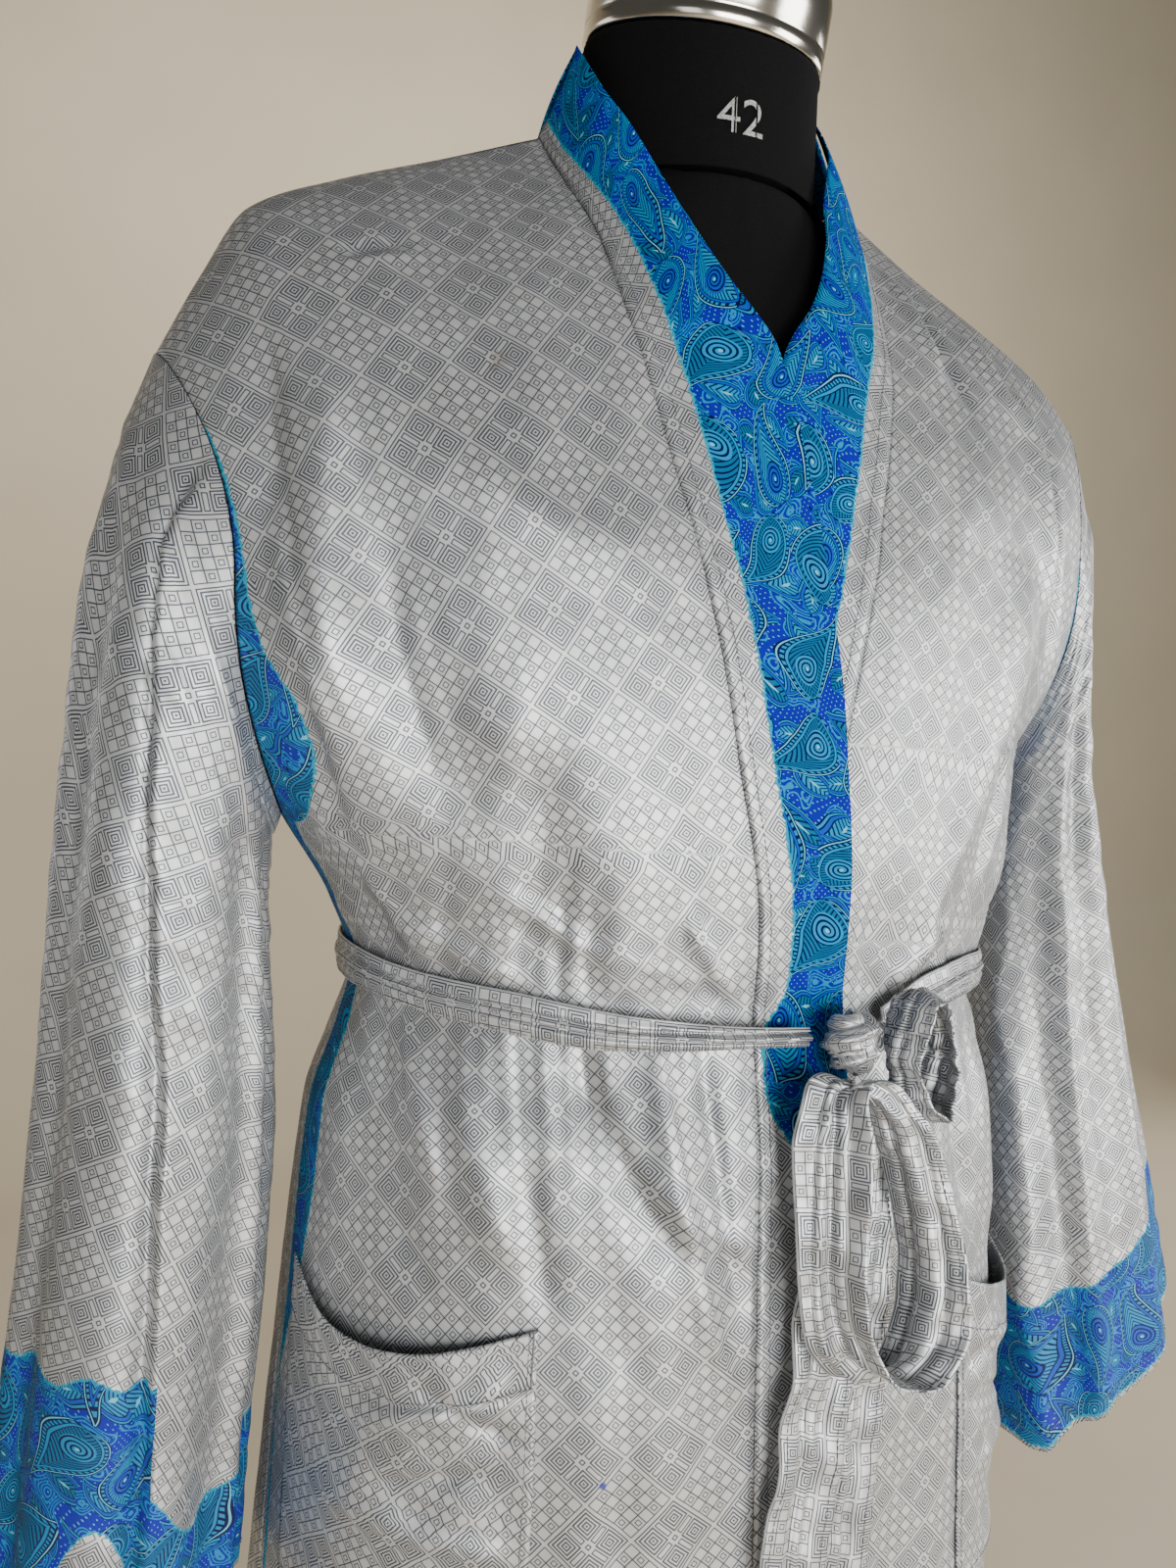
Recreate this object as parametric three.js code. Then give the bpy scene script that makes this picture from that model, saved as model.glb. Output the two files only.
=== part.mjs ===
// A kimono robe on a limbless dress form, in millimetres, +Z up.
// The front of the robe faces -Y, the wearer's right side is -X, and the stand's base rests on Z = 0.
// Every cloth piece is a thin wall through a grid of points: rows run down the cloth, columns run across it
// from the wearer's right, round the front, to the wearer's left and on round the back.
import * as THREE from 'three'

// ---- driving dimensions -------------------------------------------------------------------------

const wall = 1.3 // thickness of every cloth wall
const seamGap = 0.4 // clear gap between two pieces at a seam
const layerStep = 2.4 // from the outside of one layer to the outside of the next
const lean = 0.04 // the wearer's left side hangs lower: fall per mm across

const hemLevel = 262
const robeMiddleY = -3
const beltLevel = 1012
const beltWidth = 22
const ribbonWidth = 33 // the belt's cloth where nothing pulls it tight
const ribbonWall = 1.8
const neckRadius = 66

// the two armholes: the robe has slipped towards the wearer's right, so that one hangs lower
const armholes = {
  right: { side: -1, top: 1313, bottom: 1090, topX: 288, middleX: 252, bottomX: 224, halfDepth: 66 },
  left: { side: 1, top: 1366, bottom: 1146, topX: 242, middleX: 226, bottomX: 209.5, halfDepth: 64 },
}

// shoulder seams from the neck to the armhole: place, how far forward and down a thread leaves the seam,
// how far above the armhole's middle it turns down, and how much it slants towards the middle there
const shoulderLines = {
  right: [
    { along: 0.0, x: 94, z: 1463, out: 26, fall: 30, rise: 92, slant: 24 },
    { along: 0.3, x: 146, z: 1440, out: 30, fall: 20, rise: 104, slant: 8 },
    { along: 0.6, x: 203, z: 1416, out: 33, fall: 10, rise: 102, slant: 0 },
    { along: 0.8, x: 246, z: 1392, out: 36, fall: 4, rise: 86, slant: 0 },
    { along: 0.91, x: 268, z: 1354, out: 36, fall: 2, rise: 68, slant: 0 },
    { along: 1.0, x: 288, z: 1313, out: 36, fall: 0, rise: 60, slant: 0 },
  ],
  left: [
    { along: 0.0, x: 94, z: 1463, out: 26, fall: 30, rise: 70, slant: 18 },
    { along: 0.3, x: 140, z: 1437, out: 30, fall: 20, rise: 76, slant: 6 },
    { along: 0.6, x: 188, z: 1410, out: 33, fall: 8, rise: 70, slant: 0 },
    { along: 0.86, x: 225, z: 1386, out: 34, fall: 2, rise: 60, slant: 0 },
    { along: 1.0, x: 242, z: 1366, out: 34, fall: 0, rise: 60, slant: 0 },
  ],
}

// the robe's sections: half widths on both sides, depth of the front and of the back, squareness
const robeSections = [
  { level: 1340, right: 140, left: 140, front: 105, back: 104, power: 2.2 },
  { level: 1300, right: 196, left: 196, front: 113, back: 110, power: 2.2 },
  { level: 1267, right: 258, left: 243, front: 119, back: 114, power: 2.2 },
  { level: 1201, right: 276, left: 236, front: 128, back: 117, power: 2.2 },
  { level: 1146, right: 254, left: 208, front: 132, back: 116, power: 2.2 },
  { level: 1090, right: 224, left: 198, front: 133, back: 113, power: 2.2 },
  { level: 1049, right: 199, left: 188, front: 130, back: 108, power: 2.2 },
  { level: 1012, right: 187, left: 180, front: 126, back: 103, power: 2.2 },
  { level: 985, right: 194, left: 186, front: 130, back: 108, power: 2.2 },
  { level: 941, right: 209, left: 193, front: 139, back: 117, power: 2.2 },
  { level: 854, right: 217, left: 198, front: 146, back: 126, power: 2.2 },
  { level: 709, right: 226, left: 205, front: 151, back: 132, power: 2.1 },
  { level: 500, right: 237, left: 216, front: 157, back: 138, power: 2.1 },
  { level: 262, right: 249, left: 229, front: 164, back: 145, power: 2.1 },
]

// the seam between a front and its collar band: distance from the middle, and depth above the chest
const bandSeam = [
  { level: 1463, x: 94, y: 0 },
  { level: 1445, x: 92, y: -16 },
  { level: 1429, x: 89, y: -31 },
  { level: 1392, x: 81, y: -63 },
  { level: 1336, x: 73, y: -94 },
  { level: 1280, x: 61, y: -113 },
  { level: 1201, x: 42, y: -130 },
  { level: 1130, x: 28, y: -136 },
  { level: 1050, x: 14, y: -133 },
  { level: 985, x: 13, y: -134 },
  { level: 854, x: 15, y: -149 },
  { level: 262, x: 15, y: -167 },
]

// the collar band's free edge; below the crossing x is how far it passes the middle to the other side
const collarEdge = [
  { level: 1519, x: -72, y: 5 },
  { level: 1481, x: -68, y: -29 },
  { level: 1459, x: -59, y: -44 },
  { level: 1436, x: -50, y: -57 },
  { level: 1412, x: -43, y: -73 },
  { level: 1370, x: -25, y: -96 },
  { level: 1334, x: -2, y: -108 },
  { level: 1274, x: 10, y: -120 },
  { level: 1227, x: 18, y: -127 },
  { level: 1126, x: 31, y: -135 },
  { level: 1012, x: 37, y: -129 },
  { level: 850, x: 44, y: -149 },
  { level: 262, x: 51, y: -167 },
]

// vertical flutes of the skirt: direction round the body in degrees from the front, size and start
const skirtFlutes = [
  { turn: -132, width: 15, depth: 10, from: 985 },
  { turn: -104, width: 12, depth: 9, from: 970 },
  { turn: -74, width: 11, depth: -8, from: 900 },
  { turn: -48, width: 12, depth: 6, from: 800 },
  { turn: -24, width: 10, depth: -5, from: 900 },
  { turn: 22, width: 10, depth: -5, from: 975 },
  { turn: 44, width: 11, depth: 7, from: 960 },
  { turn: 70, width: 12, depth: -9, from: 975 },
  { turn: 98, width: 12, depth: 9, from: 985 },
  { turn: 128, width: 14, depth: -9, from: 990 },
  { turn: 158, width: 13, depth: 8, from: 985 },
  { turn: 186, width: 14, depth: -8, from: 990 },
]

// drag folds: two ends seen from the front (x across, z up), width and depth, negative is a trough
const chestFolds = [
  { x1: -235, z1: 1225, x2: -190, z2: 1080, width: 22, depth: 5 },
  { x1: -196, z1: 1245, x2: -150, z2: 1090, width: 22, depth: -5 },
  { x1: -128, z1: 1130, x2: -104, z2: 1036, width: 22, depth: -5 },
  { x1: -62, z1: 960, x2: -58, z2: 700, width: 20, depth: 5 },
  { x1: 195, z1: 1240, x2: 176, z2: 1090, width: 22, depth: -5 },
  { x1: 160, z1: 1235, x2: 132, z2: 1080, width: 22, depth: 5 },
]

// the sleeves from the armhole to the hem: outer line, inner line, half depth and middle; slant moves
// the outer line back and the inner line forward
const sleeveRings = {
  right: [
    { outerX: 306, outerZ: 1266, innerX: 228, innerZ: 1078, deep: 71, middleY: 0, slant: 0 },
    { outerX: 320, outerZ: 1200, innerX: 230, innerZ: 1050, deep: 76, middleY: 4, slant: 0 },
    { outerX: 330, outerZ: 1110, innerX: 231, innerZ: 1000, deep: 81, middleY: 8, slant: 0 },
    { outerX: 337, outerZ: 1000, innerX: 232, innerZ: 930, deep: 85, middleY: 11, slant: 0 },
    { outerX: 346, outerZ: 885, innerX: 236, innerZ: 850, deep: 87, middleY: 12, slant: 0 },
    { outerX: 356, outerZ: 790, innerX: 240, innerZ: 772, deep: 87, middleY: 12, slant: 0 },
    { outerX: 364, outerZ: 702, innerX: 242, innerZ: 692, deep: 87, middleY: 12, slant: 0 },
  ],
  left: [
    { outerX: 253, outerZ: 1318, innerX: 214, innerZ: 1136, deep: 67, middleY: 0, slant: 0 },
    { outerX: 256, outerZ: 1265, innerX: 213, innerZ: 1108, deep: 69, middleY: 4, slant: 0 },
    { outerX: 270, outerZ: 1170, innerX: 211, innerZ: 1060, deep: 72, middleY: 9, slant: 0 },
    { outerX: 298, outerZ: 1062, innerX: 213, innerZ: 988, deep: 76, middleY: 10, slant: 5 },
    { outerX: 332, outerZ: 955, innerX: 217, innerZ: 884, deep: 76, middleY: 4, slant: 14 },
    { outerX: 358, outerZ: 882, innerX: 221, innerZ: 798, deep: 75, middleY: -2, slant: 22 },
    { outerX: 380, outerZ: 818, innerX: 227, innerZ: 718, deep: 72, middleY: -6, slant: 28 },
  ],
}

// lengthwise folds of a sleeve: turn is 0 on the outer line, 90 at the front, 180 on the inner line
const sleeveFolds = [
  { turn: 62, width: 11, depth: -7, from: 0.12 },
  { turn: 78, width: 11, depth: 5, from: 0.1 },
  { turn: 128, width: 12, depth: -6, from: 0.3 },
  { turn: 152, width: 12, depth: 6, from: 0.35 },
  { turn: 215, width: 14, depth: -7, from: 0.2 },
  { turn: 262, width: 15, depth: 6, from: 0.25 },
  { turn: 315, width: 13, depth: -6, from: 0.2 },
]

// patch pockets, as rows and columns of the front panel that they lie on
const pocketRows = { mouth: 875, bottom: 700, sag: 16, bulge: 6 }
const pocketTurns = { from: 27, to: 82 }

// the belt's loops and tails: the middle line of each ribbon, and where its width points, as degrees
// turned from +X towards -Y and degrees tipped up
const largeLoop = [
  { x: 14, y: -167, z: 988, turned: 30, tipped: 0 },
  { x: 9, y: -172, z: 967, turned: 28, tipped: 0 },
  { x: 8, y: -175, z: 935, turned: 28, tipped: 0 },
  { x: 9, y: -177, z: 895, turned: 30, tipped: 2 },
  { x: 16, y: -179, z: 867, turned: 40, tipped: 5 },
  { x: 33, y: -180, z: 853, turned: 52, tipped: 8 },
  { x: 52, y: -179, z: 857, turned: 57, tipped: 8 },
  { x: 63, y: -177, z: 879, turned: 57, tipped: 4 },
  { x: 62, y: -174, z: 912, turned: 54, tipped: 0 },
  { x: 55, y: -171, z: 944, turned: 48, tipped: 0 },
  { x: 45, y: -169, z: 970, turned: 40, tipped: 0 },
  { x: 32, y: -167, z: 986, turned: 34, tipped: 0 },
]
const smallLoop = [
  { x: 55, y: -156, z: 1010, turned: 78, tipped: 6 },
  { x: 61, y: -156, z: 1027, turned: 76, tipped: 6 },
  { x: 71, y: -156, z: 1024, turned: 74, tipped: 0 },
  { x: 77, y: -155, z: 1006, turned: 74, tipped: 0 },
  { x: 76, y: -155, z: 985, turned: 74, tipped: 0 },
  { x: 68, y: -156, z: 968, turned: 74, tipped: 0 },
  { x: 59, y: -156, z: 978, turned: 76, tipped: 0 },
  { x: 54, y: -156, z: 994, turned: 78, tipped: 3 },
]
const tails = {
  belt_tail_right: [
    { x: 24, y: -148, z: 985, swing: 0 },
    { x: 22, y: -153, z: 940, swing: 0 },
    { x: 17, y: -161, z: 880, swing: 4 },
    { x: 9, y: -165, z: 820, swing: 9 },
    { x: 0, y: -168, z: 765, swing: 12 },
    { x: -6, y: -171, z: 700, swing: 10 },
    { x: -9, y: -173, z: 628, swing: 6 },
  ],
  belt_tail_left: [
    { x: 45, y: -147, z: 974, swing: 0 },
    { x: 46, y: -149, z: 940, swing: 0 },
    { x: 42, y: -153, z: 880, swing: -2 },
    { x: 35, y: -157, z: 820, swing: -3 },
    { x: 29, y: -159, z: 765, swing: -2 },
    { x: 26, y: -161, z: 700, swing: -2 },
    { x: 25, y: -164, z: 590, swing: 0 },
  ],
}
const beltRise = [
  { turn: 16, rise: -6 },
  { turn: 28, rise: 8 },
  { turn: 45, rise: 14 },
  { turn: 90, rise: 8 },
  { turn: 180, rise: 2 },
  { turn: 270, rise: 5 },
  { turn: 315, rise: 0 },
  { turn: 340, rise: -6 },
  { turn: 362.2, rise: -7 },
]
const knotPlace = { x: 31, y: -150, z: 1004, halfWidth: 14, halfDepth: 12, halfHeight: 14 }

// the form's torso: distance and height of the skin at the front, at the sides and at the back
const formRings = [
  { front: 64, frontZ: 1436, side: 66, sideZ: 1460, back: 66, backZ: 1456 },
  { front: 70, frontZ: 1408, side: 100, sideZ: 1444, back: 68, backZ: 1430 },
  { front: 82, frontZ: 1372, side: 146, sideZ: 1422, back: 73, backZ: 1392 },
  { front: 92, frontZ: 1335, side: 186, sideZ: 1396, back: 81, backZ: 1345 },
  { front: 100, frontZ: 1298, side: 204, sideZ: 1372, back: 88, backZ: 1298 },
  { front: 106, frontZ: 1255, side: 210, sideZ: 1330, back: 92, backZ: 1250 },
  { front: 109, frontZ: 1205, side: 204, sideZ: 1265, back: 94, backZ: 1205 },
  { front: 106, frontZ: 1140, side: 184, sideZ: 1180, back: 91, backZ: 1140 },
  { front: 101, frontZ: 1075, side: 168, sideZ: 1090, back: 86, backZ: 1075 },
  { front: 100, frontZ: 1010, side: 158, sideZ: 1010, back: 84, backZ: 1010 },
  { front: 106, frontZ: 940, side: 165, sideZ: 940, back: 94, backZ: 940 },
  { front: 110, frontZ: 860, side: 176, sideZ: 860, back: 104, backZ: 860 },
  { front: 108, frontZ: 790, side: 178, sideZ: 790, back: 104, backZ: 790 },
  { front: 98, frontZ: 752, side: 166, sideZ: 752, back: 94, backZ: 752 },
]
const neckCap = { bottom: 1524, top: 1566, radius: 68 }
const neckTilt = 13 // degrees that the neck's top leans forward
const pole = { radius: 16, top: 750 }
const base = { radius: 190, edge: 10, height: 26 }

// ---- interpolation ------------------------------------------------------------------------------

const mix = (a, b, t) => a + (b - a) * t
const clamp = (value, low, high) => Math.min(Math.max(value, low), high)
const ease = (low, high, value) => {
  const t = clamp((value - low) / (high - low), 0, 1)
  return t * t * (3 - 2 * t)
}
const radians = (degrees) => (degrees * Math.PI) / 180
const degrees = (angle) => (angle * 180) / Math.PI
const spaced = (count, from = 0, to = 1) => Array.from({ length: count }, (_, i) => mix(from, to, i / (count - 1)))
const vector = (x, y, z) => new THREE.Vector3(x, y, z)

// smooth curve through a table's column, without overshoot; the key column runs one way
function readTable(table, key, column, at) {
  const sign = table[1][key] > table[0][key] ? 1 : -1
  const x = (i) => sign * table[i][key]
  const last = table.length - 1
  if (sign * at <= x(0)) return table[0][column]
  if (sign * at >= x(last)) return table[last][column]
  let i = 0
  while (sign * at > x(i + 1)) i += 1
  const slope = (k) => (table[k + 1][column] - table[k][column]) / (x(k + 1) - x(k))
  const tangent = (k) => {
    if (k === 0 || k === last) return slope(Math.min(k, last - 1))
    const before = slope(k - 1)
    const after = slope(k)
    return before * after <= 0 ? 0 : (2 * before * after) / (before + after)
  }
  const span = x(i + 1) - x(i)
  const t = (sign * at - x(i)) / span
  const start = table[i][column] * (1 + 2 * t) * (1 - t) ** 2 + tangent(i) * span * t * (1 - t) ** 2
  const end = table[i + 1][column] * t * t * (3 - 2 * t) + tangent(i + 1) * span * t * t * (t - 1)
  return start + end
}

function bezier(a, b, c, d, t) {
  const s = 1 - t
  return vector(0, 0, 0)
    .addScaledVector(a, s * s * s)
    .addScaledVector(b, 3 * s * s * t)
    .addScaledVector(c, 3 * s * t * t)
    .addScaledVector(d, t * t * t)
}

// ---- walls --------------------------------------------------------------------------------------

function gridNormals(grid, closed = false) {
  const rows = grid.length
  const columns = grid[0].length
  const at = (r, c) => grid[clamp(r, 0, rows - 1)][closed ? (c + columns) % columns : clamp(c, 0, columns - 1)]
  return grid.map((row, r) =>
    row.map((_, c) => {
      const down = at(r + 1, c).clone().sub(at(r - 1, c)).normalize()
      const across = at(r, c + 1).clone().sub(at(r, c - 1)).normalize()
      return down.cross(across).normalize()
    }),
  )
}

const movedOut = (grid, normals, distance) =>
  grid.map((row, r) => row.map((point, c) => point.clone().addScaledVector(normals[r][c], distance)))

// a closed body between a grid and the same grid moved in by the wall's thickness
function wallFromGrid(grid, { thickness = wall, closed = false, normals = gridNormals(grid, closed) } = {}) {
  const rows = grid.length
  const columns = grid[0].length
  const positions = []
  for (const layer of [grid, movedOut(grid, normals, -thickness)]) {
    for (const row of layer) for (const p of row) positions.push(p.x, p.y, p.z - lean * p.x)
  }
  const index = (r, c) => r * columns + (c % columns)
  const faces = []
  for (let r = 0; r < rows - 1; r += 1) {
    for (let c = 0; c < (closed ? columns : columns - 1); c += 1) {
      const [a, b, d, e] = [index(r, c), index(r + 1, c), index(r, c + 1), index(r + 1, c + 1)]
      const next = (c + 1) % columns
      const shear = grid[r][c].distanceTo(grid[r + 1][next]) < grid[r][next].distanceTo(grid[r + 1][c])
      faces.push(...(shear ? [[a, b, e], [a, e, d]] : [[a, b, d], [b, e, d]]))
    }
  }
  const inner = (i) => i + rows * columns
  const edges = new Set(faces.flatMap(([a, b, c]) => [`${a}_${b}`, `${b}_${c}`, `${c}_${a}`]))
  const triangles = []
  for (const [a, b, c] of faces) {
    triangles.push(a, b, c, inner(a), inner(c), inner(b))
    for (const [p, q] of [[a, b], [b, c], [c, a]]) {
      if (!edges.has(`${q}_${p}`)) triangles.push(q, p, inner(p), q, inner(p), inner(q))
    }
  }
  return geometryOf(positions, triangles)
}

function geometryOf(positions, triangles) {
  const geometry = new THREE.BufferGeometry()
  geometry.setAttribute('position', new THREE.Float32BufferAttribute(positions, 3))
  geometry.setIndex(triangles)
  geometry.computeVertexNormals()
  return geometry
}

// a closed solid through rings of points, capped at both ends
function solidFromRings(rings) {
  const count = rings[0].length
  const positions = []
  for (const ring of rings) for (const p of ring) positions.push(p.x, p.y, p.z - lean * p.x)
  const triangles = []
  for (let r = 0; r < rings.length - 1; r += 1) {
    for (let c = 0; c < count; c += 1) {
      const [a, b] = [r * count + c, (r + 1) * count + c]
      const [d, e] = [r * count + ((c + 1) % count), (r + 1) * count + ((c + 1) % count)]
      triangles.push(a, b, d, b, e, d)
    }
  }
  for (const [r, flip] of [[0, false], [rings.length - 1, true]]) {
    const centre = rings[r].reduce((sum, p) => sum.add(p), vector(0, 0, 0)).divideScalar(count)
    const hub = positions.length / 3
    positions.push(centre.x, centre.y, centre.z - lean * centre.x)
    for (let c = 0; c < count; c += 1) {
      const [a, b] = [r * count + c, r * count + ((c + 1) % count)]
      triangles.push(...(flip ? [a, hub, b] : [a, b, hub]))
    }
  }
  return geometryOf(positions, triangles)
}

// ---- the robe's surface -------------------------------------------------------------------------

const robeAt = (column, level) => readTable(robeSections, 'level', column, level)
const sideName = (side) => (side < 0 ? 'right' : 'left')

function fluteOffset(turn, level) {
  let offset = 0
  for (const flute of skirtFlutes) {
    const away = ((turn - flute.turn + 540) % 360) - 180
    offset += flute.depth * Math.exp(-((away / flute.width) ** 2)) * ease(flute.from, flute.from - 330, level)
  }
  return offset
}

// a point of the robe in a direction round the body
function bodyPoint(turn, level) {
  const power = 2 / robeAt('power', level)
  const s = Math.sin(radians(turn))
  const c = Math.cos(radians(turn))
  const half = robeAt(s < 0 ? 'right' : 'left', level) * Math.abs(s) ** power + fluteOffset(turn, level) * Math.abs(s)
  const depth = robeAt(c > 0 ? 'front' : 'back', level) * Math.abs(c) ** power + fluteOffset(turn, level) * Math.abs(c)
  return vector(Math.sign(s) * half, robeMiddleY - Math.sign(c) * depth, level)
}

const turnAtX = (x, level) => {
  const share = Math.abs(x) / robeAt(x < 0 ? 'right' : 'left', level)
  return Math.sign(x) * degrees(Math.asin(clamp(share, 0, 1) ** (robeAt('power', level) / 2)))
}
const turnAtDepth = (depth, column, level) =>
  degrees(Math.acos(clamp(depth / robeAt(column, level), 0, 1) ** (robeAt('power', level) / 2)))

function foldOffset(point) {
  if (point.y > robeMiddleY) return 0
  let offset = 0
  for (const fold of chestFolds) {
    const run = new THREE.Vector2(fold.x2 - fold.x1, fold.z2 - fold.z1)
    const reach = new THREE.Vector2(point.x - fold.x1, point.z - fold.z1)
    const t = reach.dot(run) / run.lengthSq()
    const away = Math.abs(reach.cross(run)) / run.length()
    offset += fold.depth * Math.exp(-((away / fold.width) ** 2)) * ease(-0.25, 0.25, t) * ease(1.25, 0.75, t)
  }
  return offset
}

// ---- armholes and rows --------------------------------------------------------------------------

const armholeMiddle = (arm) => (arm.top + arm.bottom) / 2

// a point of the armhole's seam: angle 0 at the shoulder seam, 180 at the underarm; face 1 front, -1 back
function armholePoint(arm, face, angle) {
  const up = Math.cos(radians(angle))
  const endX = up > 0 ? arm.topX : arm.bottomX
  return vector(
    arm.side * mix(arm.middleX, endX, up * up),
    robeMiddleY - face * arm.halfDepth * Math.sin(radians(angle)),
    armholeMiddle(arm) + ((arm.top - arm.bottom) / 2) * up,
  )
}

const shoulderRows = 9
const armholeRows = 5
const sharedLevels = [1049, 1030, beltLevel, 996, 978, 945, 905, 875, 850, 800, 750, 700, 600, 500, 380, hemLevel]

// every row below the armholes' middle: its level on a side, and the armhole's angle there
const lowerRows = [
  ...spaced(armholeRows + 1, 90, 180).map((angle) => ({
    level: (side) => armholePoint(armholes[sideName(side)], 1, angle).z,
    angle,
  })),
  { level: (side) => mix(armholes[sideName(side)].bottom, sharedLevels[0], 0.5), angle: 180 },
  ...sharedLevels.map((level) => ({ level: () => level, angle: 180 })),
]

function shoulderThread(line, side, face, along, foot, t) {
  const read = (column) => readTable(line, 'along', column, along)
  const top = vector(side * read('x'), robeMiddleY * along, read('z'))
  const leave = vector(top.x, top.y - face * read('out'), top.z - read('fall'))
  const arrive = vector(foot.x + side * read('slant'), foot.y, foot.z + read('rise'))
  return bezier(top, leave, arrive, foot, t)
}

// the seam with the collar band beside row r of a front
function bandSeamPoint(side, r) {
  const arm = armholes[sideName(side)]
  const top = bandSeam[0].level
  const t = r / shoulderRows
  const level = t < 1 ? mix(top, armholeMiddle(arm), t * mix(0.55, 1, t)) : lowerRows[r - shoulderRows].level(side)
  const x = side * readTable(bandSeam, 'level', 'x', level)
  return vector(x, mix(frontDepth(x, level), readTable(bandSeam, 'level', 'y', level), ease(1201, 1267, level)), level)
}

const rowCount = shoulderRows + lowerRows.length

// where row r of a front ends at the side: shoulder, armhole or side seam
function sideEdgePoint(side, face, r) {
  const arm = armholes[sideName(side)]
  if (r < shoulderRows) return armholePoint(arm, face, (90 * r) / shoulderRows)
  const row = lowerRows[r - shoulderRows]
  if (row.angle < 180) return armholePoint(arm, face, row.angle)
  return bodyPoint(side * (face > 0 ? 90 - seamTurn : 90 + seamTurn), row.level(side))
}
const seamTurn = 0.06 // half a seam's gap, in degrees round the body

// a front panel; side -1 is the wearer's right, which lies on top
function frontGrid(side) {
  const columns = 13
  const arm = armholes[sideName(side)]
  const line = shoulderLines[sideName(side)]
  const middle = armholeMiddle(arm)
  const rows = []
  for (let r = 0; r < rowCount; r += 1) {
    const level = r < shoulderRows ? middle : lowerRows[r - shoulderRows].level(side)
    const angle = r < shoulderRows ? 90 : lowerRows[r - shoulderRows].angle
    const depth = arm.halfDepth * Math.sin(radians(angle))
    const from = turnAtX(side * readTable(bandSeam, 'level', 'x', level), level)
    const to = side * Math.min(turnAtDepth(depth, 'front', level), 90 - seamTurn)
    const base = spaced(columns).map((u) => {
      const foot = bodyPoint(mix(from, to, u), level)
      return r < shoulderRows ? shoulderThread(line, side, 1, u, foot, r / shoulderRows) : foot
    })
    rows.push(matchEnds(base, bandSeamPoint(side, r), sideEdgePoint(side, 1, r)))
  }
  return side < 0 ? rows.map((row) => row.reverse()) : rows
}

// moves a row's ends onto two given points, and its middle less and less
function matchEnds(row, first, last) {
  const atFirst = first.clone().sub(row[0])
  const atLast = last.clone().sub(row[row.length - 1])
  return row.map((point, i) => {
    const u = i / (row.length - 1)
    return point.clone().addScaledVector(atFirst, (1 - u) ** 3).addScaledVector(atLast, u ** 3)
  })
}

// normals that agree across a shoulder seam (first row) and a side seam (an end column)
function seamNormals(grid, sideColumns) {
  const normals = gridNormals(grid)
  normals[0].forEach((normal) => normal.setY(normal.y * 0.15).normalize())
  for (const c of sideColumns) {
    normals.forEach((row, r) => {
      const flat = 1 - 0.9 * ease(shoulderRows + 2, shoulderRows - 5, r)
      if (r >= shoulderRows + armholeRows) row[c].setY(0).normalize()
      else row[c].setX(row[c].x * flat).normalize()
    })
  }
  return normals
}

// folds and the lift of the layer on top, near the middle
const onTop = (x) => 1 - ease(70, 180, Math.abs(x))
function frontSurface(side) {
  const grid = frontGrid(side)
  const normals = seamNormals(grid, [side < 0 ? 0 : grid[0].length - 1])
  const lifted = grid.map((row, r) =>
    row.map((point, c) => {
      const lift = side < 0 ? layerStep * onTop(point.x) * ease(1385, 1338, point.z) : 0
      const seamSide = side < 0 ? c : row.length - 1 - c
      const free = Math.min(1, seamSide / 2)
      return point.clone().addScaledVector(normals[r][c], lift + foldOffset(point) * free)
    }),
  )
  return { grid: lifted, normals }
}

// the back, from the wearer's left armhole to the right one
function backSurface() {
  const columns = 21
  const neckShare = 0.3 // the part of the top edge that is the neckline
  const rows = []
  for (let r = 0; r < rowCount; r += 1) {
    rows.push(
      spaced(columns).map((u) => {
        const toRight = ease(0, 1, u)
        const levelOf = (side) => (r < shoulderRows ? armholeMiddle(armholes[sideName(side)]) : lowerRows[r - shoulderRows].level(side))
        const level = mix(levelOf(1), levelOf(-1), toRight)
        const angle = r < shoulderRows ? 90 : lowerRows[r - shoulderRows].angle
        const startOf = (side) => {
          const depth = armholes[sideName(side)].halfDepth * Math.sin(radians(angle))
          return Math.max(180 - turnAtDepth(depth, 'back', level), 90 + seamTurn)
        }
        const foot = bodyPoint(mix(startOf(1), 360 - startOf(-1), u), level)
        if (r >= shoulderRows) return foot
        const side = u < 0.5 ? 1 : -1
        const fromArm = Math.min(u, 1 - u) / ((1 - neckShare) / 2)
        const t = r / shoulderRows
        if (fromArm <= 1) return shoulderThread(shoulderLines[sideName(side)], side, -1, 1 - fromArm, foot, t)
        const round = ((u - (1 - neckShare) / 2) / neckShare) * 180
        return neckThread(round, foot, t)
      }),
    )
  }
  const matched = rows.map((row, r) => matchEnds(row, sideEdgePoint(1, -1, r), sideEdgePoint(-1, -1, r)))
  const top = matched[0].map((point) => point.clone())
  top.forEach((point) => (point.y += seamGap))
  matched[0] = top
  return { grid: matched, normals: seamNormals(matched, [0, columns - 1]) }
}

// round the back of the neck: 0 at the left shoulder seam, 180 at the right one
function neckSeamPoint(round) {
  const side = Math.cos(radians(round))
  const reach = side > 0 ? shoulderLines.left[0] : shoulderLines.right[0]
  return vector(reach.x * side, 70 * Math.sin(radians(round)), mix(reach.z, 1464, Math.sin(radians(round))))
}
function neckThread(round, foot, t) {
  const top = neckSeamPoint(round)
  const out = vector(top.x * 1.05, top.y + 20, top.z - 24)
  return bezier(top, out, vector(foot.x, foot.y, foot.z + 90), foot, t)
}

// ---- collar band --------------------------------------------------------------------------------

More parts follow.
